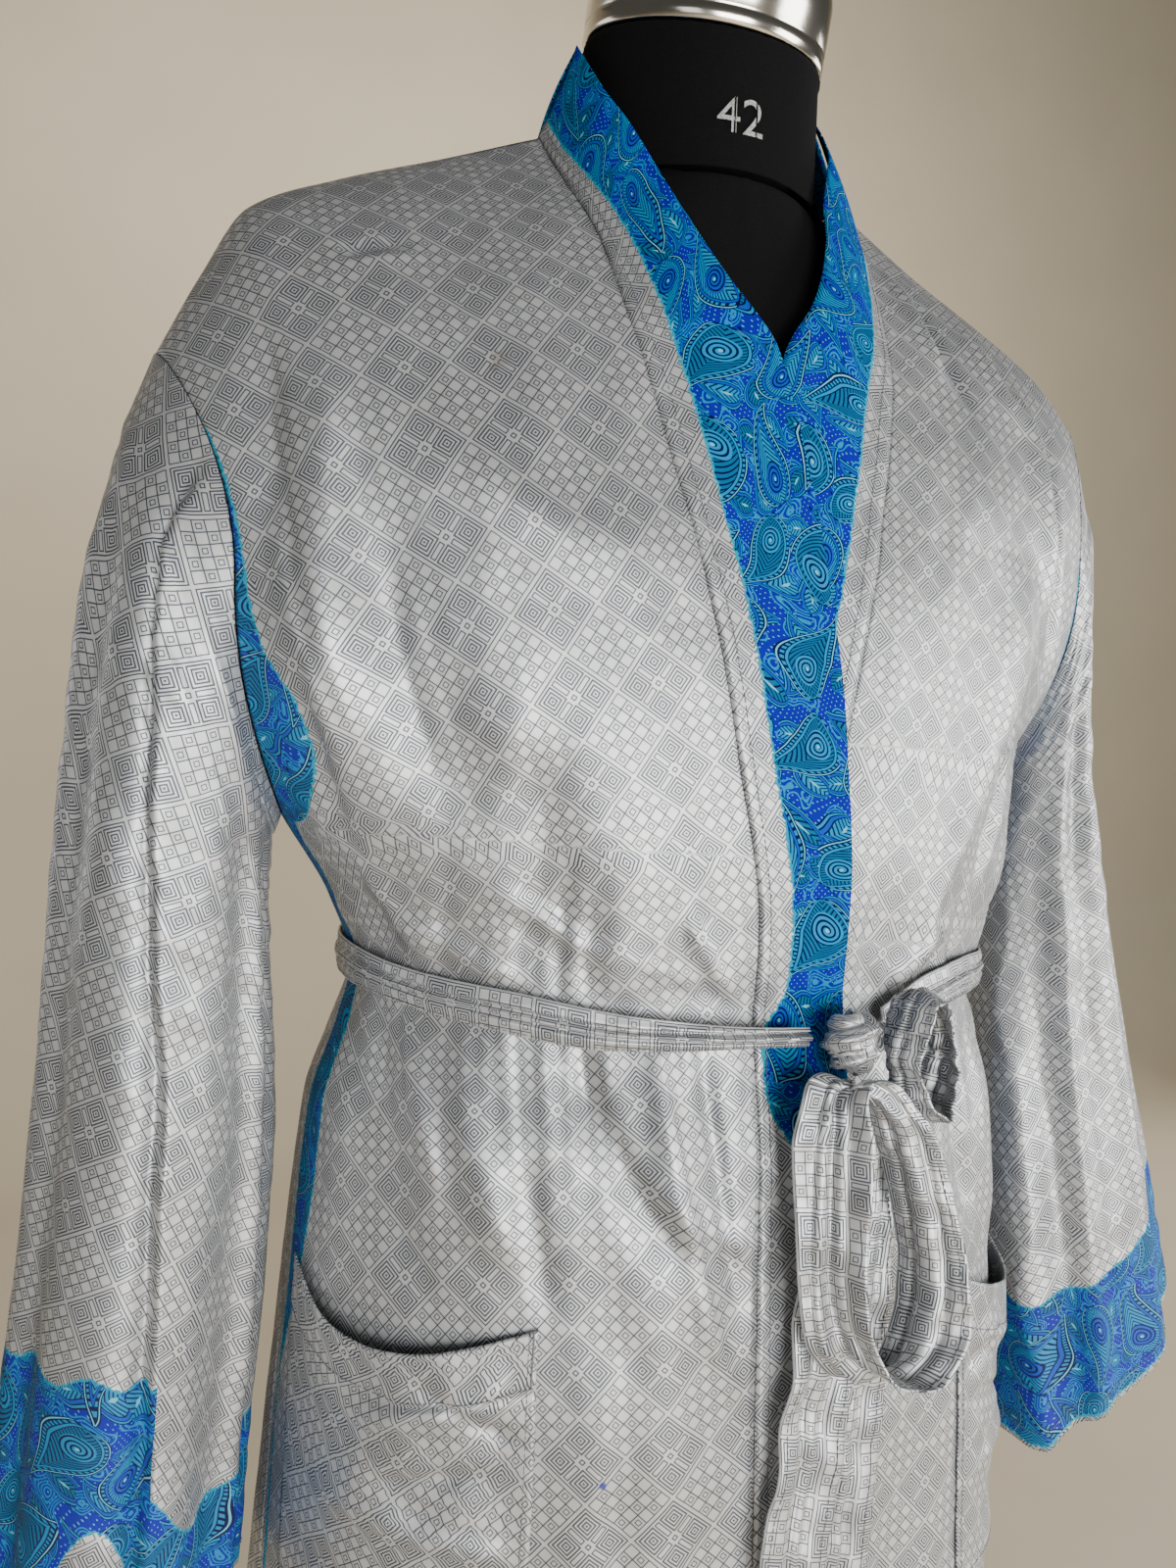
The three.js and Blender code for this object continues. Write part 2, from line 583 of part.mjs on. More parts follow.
// depth of the robe's front at a place seen from the front
function frontDepth(x, level) {
  const share = Math.abs(x) / robeAt(x < 0 ? 'right' : 'left', level)
  const power = robeAt('power', level)
  return robeMiddleY - robeAt('front', level) * (1 - clamp(share, 0, 1) ** power) ** (1 / power)
}

function bandGrid(side) {
  const columns = 4
  const rows = []
  for (let r = 0; r < rowCount; r += 1) {
    const seam = bandSeamPoint(side, r)
    const rise = 56 * ease(1201, 1463, seam.z)
    const level = seam.z + rise
    const read = (column) => readTable(collarEdge, 'level', column, level)
    const free = vector(-side * read('x'), read('y'), level)
    const gapShare = (seamGap + 0.8 * ease(1270, 1310, seam.z)) / free.distanceTo(seam)
    rows.push(
      spaced(columns).map((k) => {
        const share = mix(gapShare, 1, k)
        const point = seam.clone().lerp(free, share)
        const onBody = frontDepth(point.x, point.z) + (seam.y - frontDepth(seam.x, seam.z)) * (1 - share)
        const crown = -4 * Math.sin(Math.PI * share)
        point.y = mix(onBody, point.y + crown, ease(1325, 1350, point.z))
        return point
      }),
    )
  }
  const ordered = side < 0 ? rows : rows.map((row) => row.reverse())
  const normals = gridNormals(ordered)
  const lift = side < 0 ? layerStep : 0
  const grid = ordered.map((row, r) =>
    row.map((point, c) => point.clone().addScaledVector(normals[r][c], lift * ease(1385, 1338, point.z))),
  )
  return { grid, normals }
}

function backBandGrid() {
  const rounds = spaced(15, 0.9, 179.1)
  const free = collarEdge[0]
  const upper = rounds.map((round) => {
    const a = radians(round)
    return vector(-free.x * Math.cos(a), free.y + (neckRadius + 9 - free.y) * Math.sin(a), free.level + 8 * Math.sin(a))
  })
  const lower = rounds.map((round) => neckSeamPoint(round).add(vector(0, seamGap, seamGap)))
  return spaced(4).map((t) => upper.map((point, i) => point.clone().lerp(lower[i], t)))
}

// ---- sleeves ------------------------------------------------------------------------------------

function sleeveGrid(side) {
  const name = sideName(side)
  const rings = sleeveRings[name]
  const keyed = rings.map((ring, i) => ({ ...ring, at: i + 1 }))
  const steps = [1, 1.5, 2, 2.5, 3, 3.5, 4, 4.5, 5, 5.5, 6, 6.5, 7]
  const half = [...spaced(shoulderRows + 1, 0, 90), ...spaced(armholeRows + 1, 90, 180).slice(1)]
  const turns = [...half, ...half.slice(1, -1).reverse().map((turn) => 360 - turn)]
  const rows = [
    turns.map((turn) => {
      const face = turn <= 180 ? 1 : -1
      const point = armholePoint(armholes[name], face, turn <= 180 ? turn : 360 - turn)
      return point.add(vector(side * (seamGap + 0.3), 0, 0))
    }),
  ]
  for (const at of steps) {
    const read = (column) => readTable(keyed, 'at', column, at)
    const outer = vector(side * read('outerX'), 0, read('outerZ'))
    const inner = vector(side * read('innerX'), 0, read('innerZ'))
    const centre = outer.clone().add(inner).multiplyScalar(0.5)
    const reach = outer.clone().sub(inner).multiplyScalar(0.5)
    rows.push(
      turns.map((turn) => {
        const c = Math.cos(radians(turn))
        const s = Math.sin(radians(turn))
        const down = at / rings.length
        let grow = 0
        for (const fold of sleeveFolds) {
          const away = ((turn - fold.turn + 540) % 360) - 180
          grow += fold.depth * Math.exp(-((away / fold.width) ** 2)) * ease(fold.from, fold.from + 0.3, down)
        }
        const scale = 1 + grow / read('deep')
        const point = centre.clone().addScaledVector(reach, c * scale)
        point.y = read('middleY') - read('deep') * s * scale + read('slant') * c * scale
        return point
      }),
    )
  }
  // from above the turns run from the outer line over the front: clockwise on the wearer's left
  return side < 0 ? rows : rows.map((row) => [row[0], ...row.slice(1).reverse()])
}

// normals that agree with the body's cloth over the shoulder
function sleeveNormals(grid) {
  const normals = gridNormals(grid, true)
  const [top, bottom] = [Math.max(...grid[0].map((p) => p.z)), Math.min(...grid[0].map((p) => p.z))]
  normals[0].forEach((normal, c) => {
    const flat = 1 - 0.9 * ease(mix(bottom, top, 0.35), mix(bottom, top, 0.75), grid[0][c].z)
    normal.setX(normal.x * flat).normalize()
  })
  return normals
}

// ---- pockets ------------------------------------------------------------------------------------

function pocketGrid(side, surface) {
  const { grid, normals } = surface
  const ordered = side < 0 ? grid : grid.map((row) => [...row])
  const levels = sharedLevels.filter((level) => level <= pocketRows.mouth && level >= pocketRows.bottom)
  const first = shoulderRows + lowerRows.length - sharedLevels.length + sharedLevels.indexOf(levels[0])
  const columns = ordered[0].map((_, c) => c).filter((c) => {
    const turn = Math.abs(turnAtX(clampToSide(ordered[first][c].x), ordered[first][c].z))
    return turn >= pocketTurns.from && turn <= pocketTurns.to
  })
  return levels.map((_, i) =>
    columns.map((c, k) => {
      const across = k / (columns.length - 1)
      const point = ordered[first + i][c].clone()
      const next = ordered[first + Math.min(i + 1, levels.length - 1)][c]
      const sag = i === 0 ? (pocketRows.sag * Math.sin(Math.PI * across)) / (levels[0] - levels[1]) : 0
      point.lerp(next, sag)
      const open = Math.sin(Math.PI * across) * (1 - i / (levels.length - 1)) ** 2
      return point.addScaledVector(normals[first + i][c], layerStep + 0.6 + pocketRows.bulge * open)
    }),
  )
}
const clampToSide = (x) => Math.sign(x) * Math.min(Math.abs(x), 210)

// ---- belt ---------------------------------------------------------------------------------------

// the belt round the waist, from one side of the knot to the other; it sags towards the knot on the
// wearer's right and comes up from it on the left
function beltGrid() {
  const turns = spaced(49, 16, 362.2)
  const heights = spaced(3, beltWidth / 2, -beltWidth / 2)
  return heights.map((height) =>
    turns.map((turn) => {
      const around = turn > 180 ? turn - 360 : turn
      const toKnot = ease(-40, 4, around > 10 ? -around - 30 : around)
      const level = beltLevel + readTable(beltRise, 'turn', 'rise', turn)
      const point = bodyPoint(around, level)
      const out = layerStep + 3 + 2.5 * onTop(point.x) + 8 * toKnot
      const direction = vector(point.x / robeAt('right', level), (point.y - robeMiddleY) / robeAt('front', level), 0)
      point.addScaledVector(direction.normalize(), out)
      point.z = level + height * mix(1, 0.62, toKnot)
      return point
    }),
  )
}

function knotRings() {
  const { x, y, z, halfWidth, halfDepth, halfHeight } = knotPlace
  return spaced(9, 12, 168).map((down) => {
    const ring = Math.sin(radians(down)) ** 0.7
    return Array.from({ length: 16 }, (_, i) => {
      const a = radians((360 * i) / 16)
      const waist = 1 - 0.12 * Math.cos(2 * a + 0.6)
      return vector(
        x + halfWidth * ring * waist * Math.sin(a),
        y - halfDepth * ring * Math.cos(a),
        z + halfHeight * Math.cos(radians(down)),
      )
    })
  })
}

// a closed ribbon along a loop's middle line; columns run round it, rows across its width
function loopGrid(stations, count) {
  const line = new THREE.CatmullRomCurve3(stations.map(({ x, y, z }) => vector(x, y, z)), true, 'centripetal')
  const widths = stations.map(({ turned, tipped }) => {
    const [a, b] = [radians(turned), radians(tipped)]
    return vector(Math.cos(a) * Math.cos(b), -Math.sin(a) * Math.cos(b), Math.sin(b))
  })
  const columns = Array.from({ length: count }, (_, i) => {
    const at = (i / count) * stations.length
    const low = Math.floor(at)
    const width = widths[low].clone().lerp(widths[(low + 1) % stations.length], at - low)
    return { point: line.getPoint(i / count), width }
  })
  return spaced(3, -ribbonWidth / 2, ribbonWidth / 2).map((shift) =>
    columns.map(({ point, width }) => point.clone().addScaledVector(width, shift * 0.96)),
  )
}

function tailGrid(stations) {
  const line = new THREE.CatmullRomCurve3(stations.map(({ x, y, z }) => vector(x, y, z)), false, 'centripetal')
  const count = 16
  const points = line.getSpacedPoints(count)
  return points.map((point, i) => {
    const at = (i / count) * (stations.length - 1)
    const low = Math.min(Math.floor(at), stations.length - 2)
    const swing = radians(mix(stations[low].swing, stations[low + 1].swing, at - low))
    const spread = mix(0.55, 1, ease(0, 0.35, i / count))
    return spaced(5, -ribbonWidth / 2, ribbonWidth / 2).map((shift) =>
      vector(
        point.x + shift * spread * Math.cos(swing),
        point.y + 1.5 * Math.cos((shift / ribbonWidth) * Math.PI * 2) * spread,
        point.z - shift * spread * Math.sin(swing),
      ),
    )
  })
}

// ---- dress form ---------------------------------------------------------------------------------

function torsoRings() {
  const count = 24
  const keyed = formRings.map((ring, i) => ({ ...ring, at: i }))
  return spaced(formRings.length, 0, formRings.length - 1).map((at) => {
    const read = (column) => readTable(keyed, 'at', column, at)
    return Array.from({ length: count }, (_, i) => {
      const a = radians((360 * i) / count)
      const s = Math.sin(a)
      const c = Math.cos(a)
      const reach = c > 0 ? read('front') : read('back')
      const height = c > 0 ? read('frontZ') : read('backZ')
      return vector(read('side') * Math.sign(s) * Math.abs(s) ** 0.95, -reach * Math.sign(c) * Math.abs(c) ** (c > 0 ? 1.15 : 1.9), mix(height, read('sideZ'), s ** 8))
    })
  })
}

function neckRings() {
  const count = 32
  const levels = spaced(5)
  const tilt = Math.tan(radians(neckTilt))
  return levels.map((t) =>
    Array.from({ length: count }, (_, i) => {
      const a = radians((360 * i) / count)
      const [x, y] = [neckRadius * Math.sin(a), -neckRadius * Math.cos(a)]
      const shoulder = mix(Math.cos(a) > 0 ? 1436 : 1456, 1460, Math.sin(a) ** 8) + 2.5
      return vector(x, y, mix(neckCap.bottom + y * tilt, shoulder, t))
    }),
  )
}

const profile = (points) => new THREE.LatheGeometry(points.map(([x, y]) => new THREE.Vector2(x, y)), 48)

function capGeometry() {
  const { radius, bottom, top } = neckCap
  const height = top - bottom
  const shape = [[0, 0], [radius, 0], [radius, height - 7], [radius - 2, height - 2.5], [radius - 6, height], [0, height]]
  return profile(shape).rotateX(Math.PI / 2)
}

// ---- the model ----------------------------------------------------------------------------------

const paint = (color, roughness, metalness = 0) => new THREE.MeshStandardMaterial({ color, roughness, metalness })
const silver = paint(0xaeb1b4, 0.42)
const border = paint(0x1f5fae, 0.42)
const cover = paint(0x17181a, 0.85)
const chrome = paint(0xc2bfb6, 0.22, 1)
const standBlack = paint(0x1c1d1f, 0.45)

const root = new THREE.Group()

function addMesh(name, geometry, material) {
  const mesh = new THREE.Mesh(geometry, material)
  mesh.name = name
  root.add(mesh)
  return mesh
}

function addRobe() {
  const fronts = { right: frontSurface(-1), left: frontSurface(1) }
  addMesh('front_right', wallFromGrid(fronts.right.grid, { normals: fronts.right.normals }), silver)
  addMesh('front_left', wallFromGrid(fronts.left.grid, { normals: fronts.left.normals }), silver)
  const back = backSurface()
  addMesh('back', wallFromGrid(back.grid, { normals: back.normals }), silver)
  for (const side of [-1, 1]) {
    const band = bandGrid(side)
    addMesh(`collar_band_${sideName(side)}`, wallFromGrid(band.grid, { normals: band.normals }), border)
  }
  addMesh('collar_band_back', wallFromGrid(backBandGrid()), border)
  for (const side of [-1, 1]) {
    const sleeve = sleeveGrid(side)
    addMesh(`sleeve_${sideName(side)}`, wallFromGrid(sleeve, { closed: true, normals: sleeveNormals(sleeve) }), silver)
    addMesh(`pocket_${sideName(side)}`, wallFromGrid(pocketGrid(side, fronts[sideName(side)])), silver)
  }
}

function addBelt() {
  addMesh('belt_waist', wallFromGrid(beltGrid(), { thickness: ribbonWall }), silver)
  addMesh('belt_knot', solidFromRings(knotRings()), silver)
  addMesh('belt_loop_large', wallFromGrid(loopGrid(largeLoop, 36), { thickness: ribbonWall, closed: true }), silver)
  addMesh('belt_loop_small', wallFromGrid(loopGrid(smallLoop, 24), { thickness: ribbonWall, closed: true }), silver)
  for (const [name, stations] of Object.entries(tails)) {
    addMesh(name, wallFromGrid(tailGrid(stations), { thickness: ribbonWall }), silver)
  }
}

function addForm() {
  addMesh('form_torso', solidFromRings(torsoRings()), cover)
  addMesh('form_neck', solidFromRings(neckRings()), cover)
  const cap = addMesh('neck_cap', capGeometry(), chrome)
  cap.position.z = neckCap.bottom + seamGap
  cap.rotation.set(radians(neckTilt), Math.atan(lean), 0)
  const poleLength = pole.top - base.height - 2 * seamGap
  const poleMesh = addMesh('stand_pole', new THREE.CylinderGeometry(pole.radius, pole.radius, poleLength, 32), standBlack)
  poleMesh.rotation.x = Math.PI / 2
  poleMesh.position.z = base.height + seamGap + poleLength / 2
  const { radius, edge, height } = base
  const shape = [[0, 0], [radius, 0], [radius, edge], [radius - 8, edge + 5], [60, height - 4], [30, height], [0, height]]
  addMesh('stand_base', profile(shape).rotateX(Math.PI / 2), standBlack)
}

addRobe()
addBelt()
addForm()

export default root
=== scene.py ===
import math
import bmesh
import bpy
import numpy as np
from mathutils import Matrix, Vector


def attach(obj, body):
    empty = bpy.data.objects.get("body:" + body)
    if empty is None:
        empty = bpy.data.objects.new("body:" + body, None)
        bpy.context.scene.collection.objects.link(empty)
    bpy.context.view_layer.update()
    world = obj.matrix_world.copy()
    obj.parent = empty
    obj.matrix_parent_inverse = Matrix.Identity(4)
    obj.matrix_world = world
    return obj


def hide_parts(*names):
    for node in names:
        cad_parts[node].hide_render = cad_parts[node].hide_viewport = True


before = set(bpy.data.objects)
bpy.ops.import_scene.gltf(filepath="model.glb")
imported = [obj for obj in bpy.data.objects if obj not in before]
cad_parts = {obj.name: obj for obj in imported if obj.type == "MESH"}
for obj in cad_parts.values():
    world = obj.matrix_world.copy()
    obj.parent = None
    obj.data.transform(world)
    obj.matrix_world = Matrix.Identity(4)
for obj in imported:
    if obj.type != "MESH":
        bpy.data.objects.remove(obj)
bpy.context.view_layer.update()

# lengths are in millimetres up to toMetres; the robe's front faces -Y and the wearer's right side is -X
tidyFar = -200.0  # border value of cloth that is nowhere near a border


def readRows(names, rows):
    return dict(zip(names.split(), np.array(rows, dtype=float).T))


# sizes shared by all pieces
robe = {"lean": 0.04, "middleY": -3.0, "beltLevel": 1012.0, "layerStep": 2.4, "wall": 0.9}
armholes = {
    -1: {"top": 1313.0, "bottom": 1090.0, "topX": 288.0, "middleX": 252.0, "bottomX": 224.0,
         "halfDepth": 66.0},
    1: {"top": 1366.0, "bottom": 1146.0, "topX": 242.0, "middleX": 226.0, "bottomX": 209.5,
        "halfDepth": 64.0},
}
shoulderLines = {
    -1: readRows("along x z out fall rise slant", [
        (0.0, 94, 1463, 26, 30, 92, 24), (0.3, 146, 1440, 30, 20, 104, 8), (0.6, 203, 1416, 33, 10, 102, 0),
        (0.8, 246, 1392, 36, 4, 86, 0), (0.91, 268, 1354, 36, 2, 68, 0), (1.0, 288, 1313, 36, 0, 60, 0)]),
    1: readRows("along x z out fall rise slant", [
        (0.0, 94, 1463, 26, 30, 70, 18), (0.3, 140, 1437, 30, 20, 76, 6), (0.6, 188, 1410, 33, 8, 70, 0),
        (0.86, 225, 1386, 34, 2, 60, 0), (1.0, 242, 1366, 34, 0, 60, 0)]),
}
robeSections = readRows("level right left front back power", [
    (1340, 140, 140, 105, 104, 2.2), (1300, 196, 196, 113, 110, 2.2), (1267, 258, 243, 119, 114, 2.2),
    (1201, 276, 236, 128, 117, 2.2), (1146, 254, 208, 132, 116, 2.2), (1090, 224, 198, 133, 113, 2.2),
    (1049, 199, 188, 130, 108, 2.2), (1012, 187, 180, 126, 103, 2.2), (985, 194, 186, 130, 108, 2.2),
    (941, 209, 193, 139, 117, 2.2), (854, 217, 198, 146, 126, 2.2), (709, 226, 205, 151, 132, 2.1),
    (500, 237, 216, 157, 138, 2.1), (262, 249, 229, 164, 145, 2.1)])
bandSeam = readRows("level x y", [
    (1463, 94, 0), (1445, 92, -16), (1429, 89, -31), (1392, 81, -63), (1336, 73, -94), (1280, 61, -113),
    (1201, 42, -130), (1130, 28, -136), (1050, 14, -133), (985, 13, -134), (854, 15, -149), (262, 15, -167)])
collarEdge = readRows("level x y", [
    (1519, -72, 5), (1481, -68, -29), (1459, -59, -44), (1436, -50, -57), (1412, -43, -73), (1370, -25, -96),
    (1334, -2, -108), (1274, 10, -120), (1227, 18, -127), (1126, 31, -135), (1012, 37, -129), (850, 44, -149),
    (262, 51, -167)])
skirtFlutes = readRows("turn width depth start", [
    (-132, 15, 10, 985), (-104, 12, 9, 970), (-74, 11, -8, 900), (-48, 12, 6, 800), (-24, 10, -5, 900),
    (22, 10, -5, 975), (44, 11, 7, 960), (70, 12, -9, 975), (98, 12, 9, 985), (128, 14, -9, 990),
    (158, 13, 8, 985), (186, 14, -8, 990)])
sharedLevels = [1049, 1030, 1012, 996, 978, 945, 905, 875, 850, 800, 750, 700, 600, 500, 380, 262]
shoulderRows, armholeRows, seamTurn = 9, 5, 0.06
rowCount = shoulderRows + armholeRows + 2 + len(sharedLevels)


# interpolation
def readCurve(table, key, column, at):
    x, y = table[key], table[column]
    at = np.asarray(at, dtype=float)
    if x[1] < x[0]:
        x, at = -x, -at
    span = np.diff(x)
    slope = np.diff(y) / span
    before, after = slope[:-1], slope[1:]
    total = np.where(before + after == 0, 1, before + after)
    middle = np.where(before * after <= 0, 0, 2 * before * after / total)
    tangent = np.concatenate([[slope[0]], middle, [slope[-1]]])
    at = np.clip(at, x[0], x[-1])
    i = np.clip(np.searchsorted(x, at, side="right") - 1, 0, len(x) - 2)
    t = (at - x[i]) / span[i]
    start = y[i] * (1 + 2 * t) * (1 - t) ** 2 + tangent[i] * span[i] * t * (1 - t) ** 2
    return start + y[i + 1] * t * t * (3 - 2 * t) + tangent[i + 1] * span[i] * t * t * (t - 1)


def mix(a, b, t):
    return a + (b - a) * t


def ease(low, high, value):
    t = np.clip((np.asarray(value, dtype=float) - low) / (high - low), 0, 1)
    return t * t * (3 - 2 * t)


def points(x, y, z):
    return np.stack(np.broadcast_arrays(np.asarray(x, dtype=float), y, z), axis=-1)


def bezier(a, b, c, d, t):
    s = 1 - t
    return a * s**3 + b * 3 * s * s * t + c * 3 * s * t * t + d * t**3


# the robe's surface
def robeAt(column, level):
    return readCurve(robeSections, "level", column, level)


def fluteOffset(turn, level):
    offset = np.zeros(np.broadcast(turn, level).shape)
    for middle, width, depth, start in zip(*(skirtFlutes[k] for k in ("turn", "width", "depth", "start"))):
        away = (turn - middle + 540) % 360 - 180
        offset = offset + depth * np.exp(-((away / width) ** 2)) * ease(start, start - 330, level)
    return offset


def bodyPoint(turn, level):
    turn = np.asarray(turn, dtype=float)
    power = 2 / robeAt("power", level)
    s, c = np.sin(np.radians(turn)), np.cos(np.radians(turn))
    flute = fluteOffset(turn, level)
    half = (np.where(s < 0, robeAt("right", level), robeAt("left", level)) * np.abs(s) ** power
            + flute * np.abs(s))
    depth = (np.where(c > 0, robeAt("front", level), robeAt("back", level)) * np.abs(c) ** power
             + flute * np.abs(c))
    return points(np.sign(s) * half, robe["middleY"] - np.sign(c) * depth, level)


def turnAtX(x, level):
    share = abs(x) / robeAt("right" if x < 0 else "left", level)
    return math.copysign(math.degrees(math.asin(min(share, 1) ** (float(robeAt("power", level)) / 2))), x)


def turnAtDepth(depth, column, level):
    share = min(max(depth / float(robeAt(column, level)), 0), 1)
    return math.degrees(math.acos(share ** (float(robeAt("power", level)) / 2)))


def frontDepth(x, level):
    x, power = np.asarray(x, dtype=float), robeAt("power", level)
    half = np.where(x < 0, robeAt("right", level), robeAt("left", level))
    share = np.clip(np.abs(x) / half, 0, 1)
    return robe["middleY"] - robeAt("front", level) * (1 - share**power) ** (1 / power)


def armholePoint(side, face, angle):
    arm = armholes[side]
    angle = np.asarray(angle, dtype=float)
    up = np.cos(np.radians(angle))
    endX = np.where(up > 0, arm["topX"], arm["bottomX"])
    return points(side * mix(arm["middleX"], endX, up * up),
                  robe["middleY"] - face * arm["halfDepth"] * np.sin(np.radians(angle)),
                  (arm["top"] + arm["bottom"]) / 2 + (arm["top"] - arm["bottom"]) / 2 * up)


def rowAngle(r):
    return 10 * r if r < 9 else min(90 + 18 * (r - 9), 180)


def rowLevel(side, r):
    arm = armholes[side]
    if r < shoulderRows:
        return (arm["top"] + arm["bottom"]) / 2
    if r <= 14:
        return float(armholePoint(side, 1, rowAngle(r))[2])
    levels = [arm["bottom"], (arm["bottom"] + sharedLevels[0]) / 2] + sharedLevels
    return float(np.interp(r - 14, range(len(levels)), levels))


def shoulderThread(side, face, along, foot, t):
    read = lambda column: readCurve(shoulderLines[side], "along", column, along)
    top = points(side * read("x"), robe["middleY"] * along, read("z"))
    leave = points(top[..., 0], top[..., 1] - face * read("out"), top[..., 2] - read("fall"))
    arrive = points(foot[..., 0] + side * read("slant"), foot[..., 1], foot[..., 2] + read("rise"))
    return bezier(top, leave, arrive, foot, t)


def bandSeamPoint(side, r):
    t = r / shoulderRows
    level = mix(bandSeam["level"][0], rowLevel(side, 9), t * mix(0.55, 1, t)) if t < 1 else rowLevel(side, r)
    x = side * float(readCurve(bandSeam, "level", "x", level))
    y = mix(frontDepth(x, level), readCurve(bandSeam, "level", "y", level), ease(1201, 1267, level))
    return points(x, y, level)


def sideEdgePoint(side, face, r):
    if r < 14:
        return armholePoint(side, face, rowAngle(r))
    return bodyPoint(side * (90 - seamTurn if face > 0 else 90 + seamTurn), rowLevel(side, r))


def matchEnds(row, first, last):
    u = np.linspace(0, 1, len(row))[:, None]
    return row + (first - row[0]) * (1 - u) ** 3 + (last - row[-1]) * u**3


def gridNormals(grid):
    down = np.gradient(grid, axis=0)
    across = np.gradient(grid, axis=1)
    normal = np.cross(down, across)
    return normal / np.maximum(np.linalg.norm(normal, axis=-1, keepdims=True), 1e-9)


def fineRows(spacing):
    levels = [1463 - 28 * r for r in range(9)] + [rowLevel(-1, r) for r in range(9, rowCount)]
    rows = [0.0]
    for r in range(rowCount - 1):
        count = max(2, math.ceil((levels[r] - levels[r + 1]) / spacing))
        rows += [r + (k + 1) / count for k in range(count)]
    return rows


def frontBase(side, rows, columns):
    grid = []
    for r in rows:
        level = rowLevel(side, r)
        depth = armholes[side]["halfDepth"] * math.sin(math.radians(max(rowAngle(r), 90)))
        start = turnAtX(side * float(readCurve(bandSeam, "level", "x", level)), level)
        end = side * min(turnAtDepth(depth, "front", level), 90 - seamTurn)
        u = np.linspace(0, 1, columns)
        foot = bodyPoint(mix(start, end, u), level)
        row = shoulderThread(side, 1, u, foot, r / shoulderRows) if r < shoulderRows else foot
        grid.append(matchEnds(row, bandSeamPoint(side, r), sideEdgePoint(side, 1, r)))
    return np.array([row[::-1] for row in grid] if side < 0 else grid)


def neckSeamPoint(turn):
    side, out = np.cos(np.radians(turn)), np.sin(np.radians(turn))
    return points(94 * side, 70 * out, mix(1463, 1464, out))


def backBase(rows, columns):
    neckShare = 0.3
    grid = []
    for r in rows:
        u = np.linspace(0, 1, columns)
        level = mix(rowLevel(1, r), rowLevel(-1, r), ease(0, 1, u))
        angle = math.radians(max(rowAngle(r), 90))
        share = np.array([[max(180 - turnAtDepth(armholes[side]["halfDepth"] * math.sin(angle), "back", one),
                               90 + seamTurn)
                           for side in (1, -1)] for one in level])
        foot = bodyPoint(mix(share[:, 0], 360 - share[:, 1], u), level)
        if r < shoulderRows:
            t = r / shoulderRows
            fromArm = np.minimum(u, 1 - u) / ((1 - neckShare) / 2)
            turn = np.clip((u - (1 - neckShare) / 2) / neckShare, 0, 1) * 180
            top = neckSeamPoint(turn)
            leave = points(top[:, 0] * 1.05, top[:, 1] + 20, top[:, 2] - 24)
            neck = bezier(top, leave, foot + np.array([0, 0, 90.0]), foot, t)
            left = shoulderThread(1, -1, np.clip(1 - fromArm, 0, 1), foot, t)
            right = shoulderThread(-1, -1, np.clip(1 - fromArm, 0, 1), foot, t)
            arm = np.where(u[:, None] < 0.5, left, right)
            foot = np.where((fromArm <= 1)[:, None], arm, neck)
        grid.append(matchEnds(foot, sideEdgePoint(1, -1, r), sideEdgePoint(-1, -1, r)))
    grid = np.array(grid)
    grid[0, :, 1] += 0.4
    return grid


# folds
def creaseOffset(x, z, creases):
    offset = np.zeros(x.shape)
    for x1, z1, x2, z2, width, depth, bow, steep in creases:
        runX, runZ = x2 - x1, z2 - z1
        length = math.hypot(runX, runZ)
        t = ((x - x1) * runX + (z - z1) * runZ) / length**2
        away = ((x - x1) * runZ - (z - z1) * runX) / length - bow * 4 * t * (1 - t)
        side = np.where(away > 0, width, width * steep)
        offset += depth * np.exp(-((away / side) ** 2)) * ease(-0.2, 0.25, t) * ease(1.2, 0.75, t)
    return offset


def noiseField(x, z, size, stretch, seed):
    # smooth uneven waves between about -0.7 and 0.7
    u, v = np.asarray(x) / size + seed * 17.31, np.asarray(z) / (size * stretch) + seed * 5.17
    i, j = np.floor(u), np.floor(v)
    fu, fv = u - i, v - j

    def corner(a, b):
        turn = np.sin((i + a) * 127.1 + (j + b) * 311.7 + seed * 74.7) * 43758.5453
        turn = (turn - np.floor(turn)) * 2 * np.pi
        return np.cos(turn) * (fu - a) + np.sin(turn) * (fv - b)

    wu, wv = fu * fu * fu * (fu * (fu * 6 - 15) + 10), fv * fv * fv * (fv * (fv * 6 - 15) + 10)
    return mix(mix(corner(0, 0), corner(1, 0), wu), mix(corner(0, 1), corner(1, 1), wu), wv) * 1.4


def beltPinch(x, z, seed, size=1.0):
    away = z - robe["beltLevel"]
    reach = np.where(away > 0, ease(95, 12, away), ease(-110, -12, away)) * ease(4, 16, np.abs(away))
    wave = noiseField(x, z * 0.15, 13, 6, seed) + 0.5 * noiseField(x, z * 0.2, 6, 6, seed + 3)
    return 2.4 * size * wave * reach


def toMetres(grid):
    out = np.array(grid, dtype=float)
    out[..., 2] -= robe["lean"] * out[..., 0]
    return out * 0.001


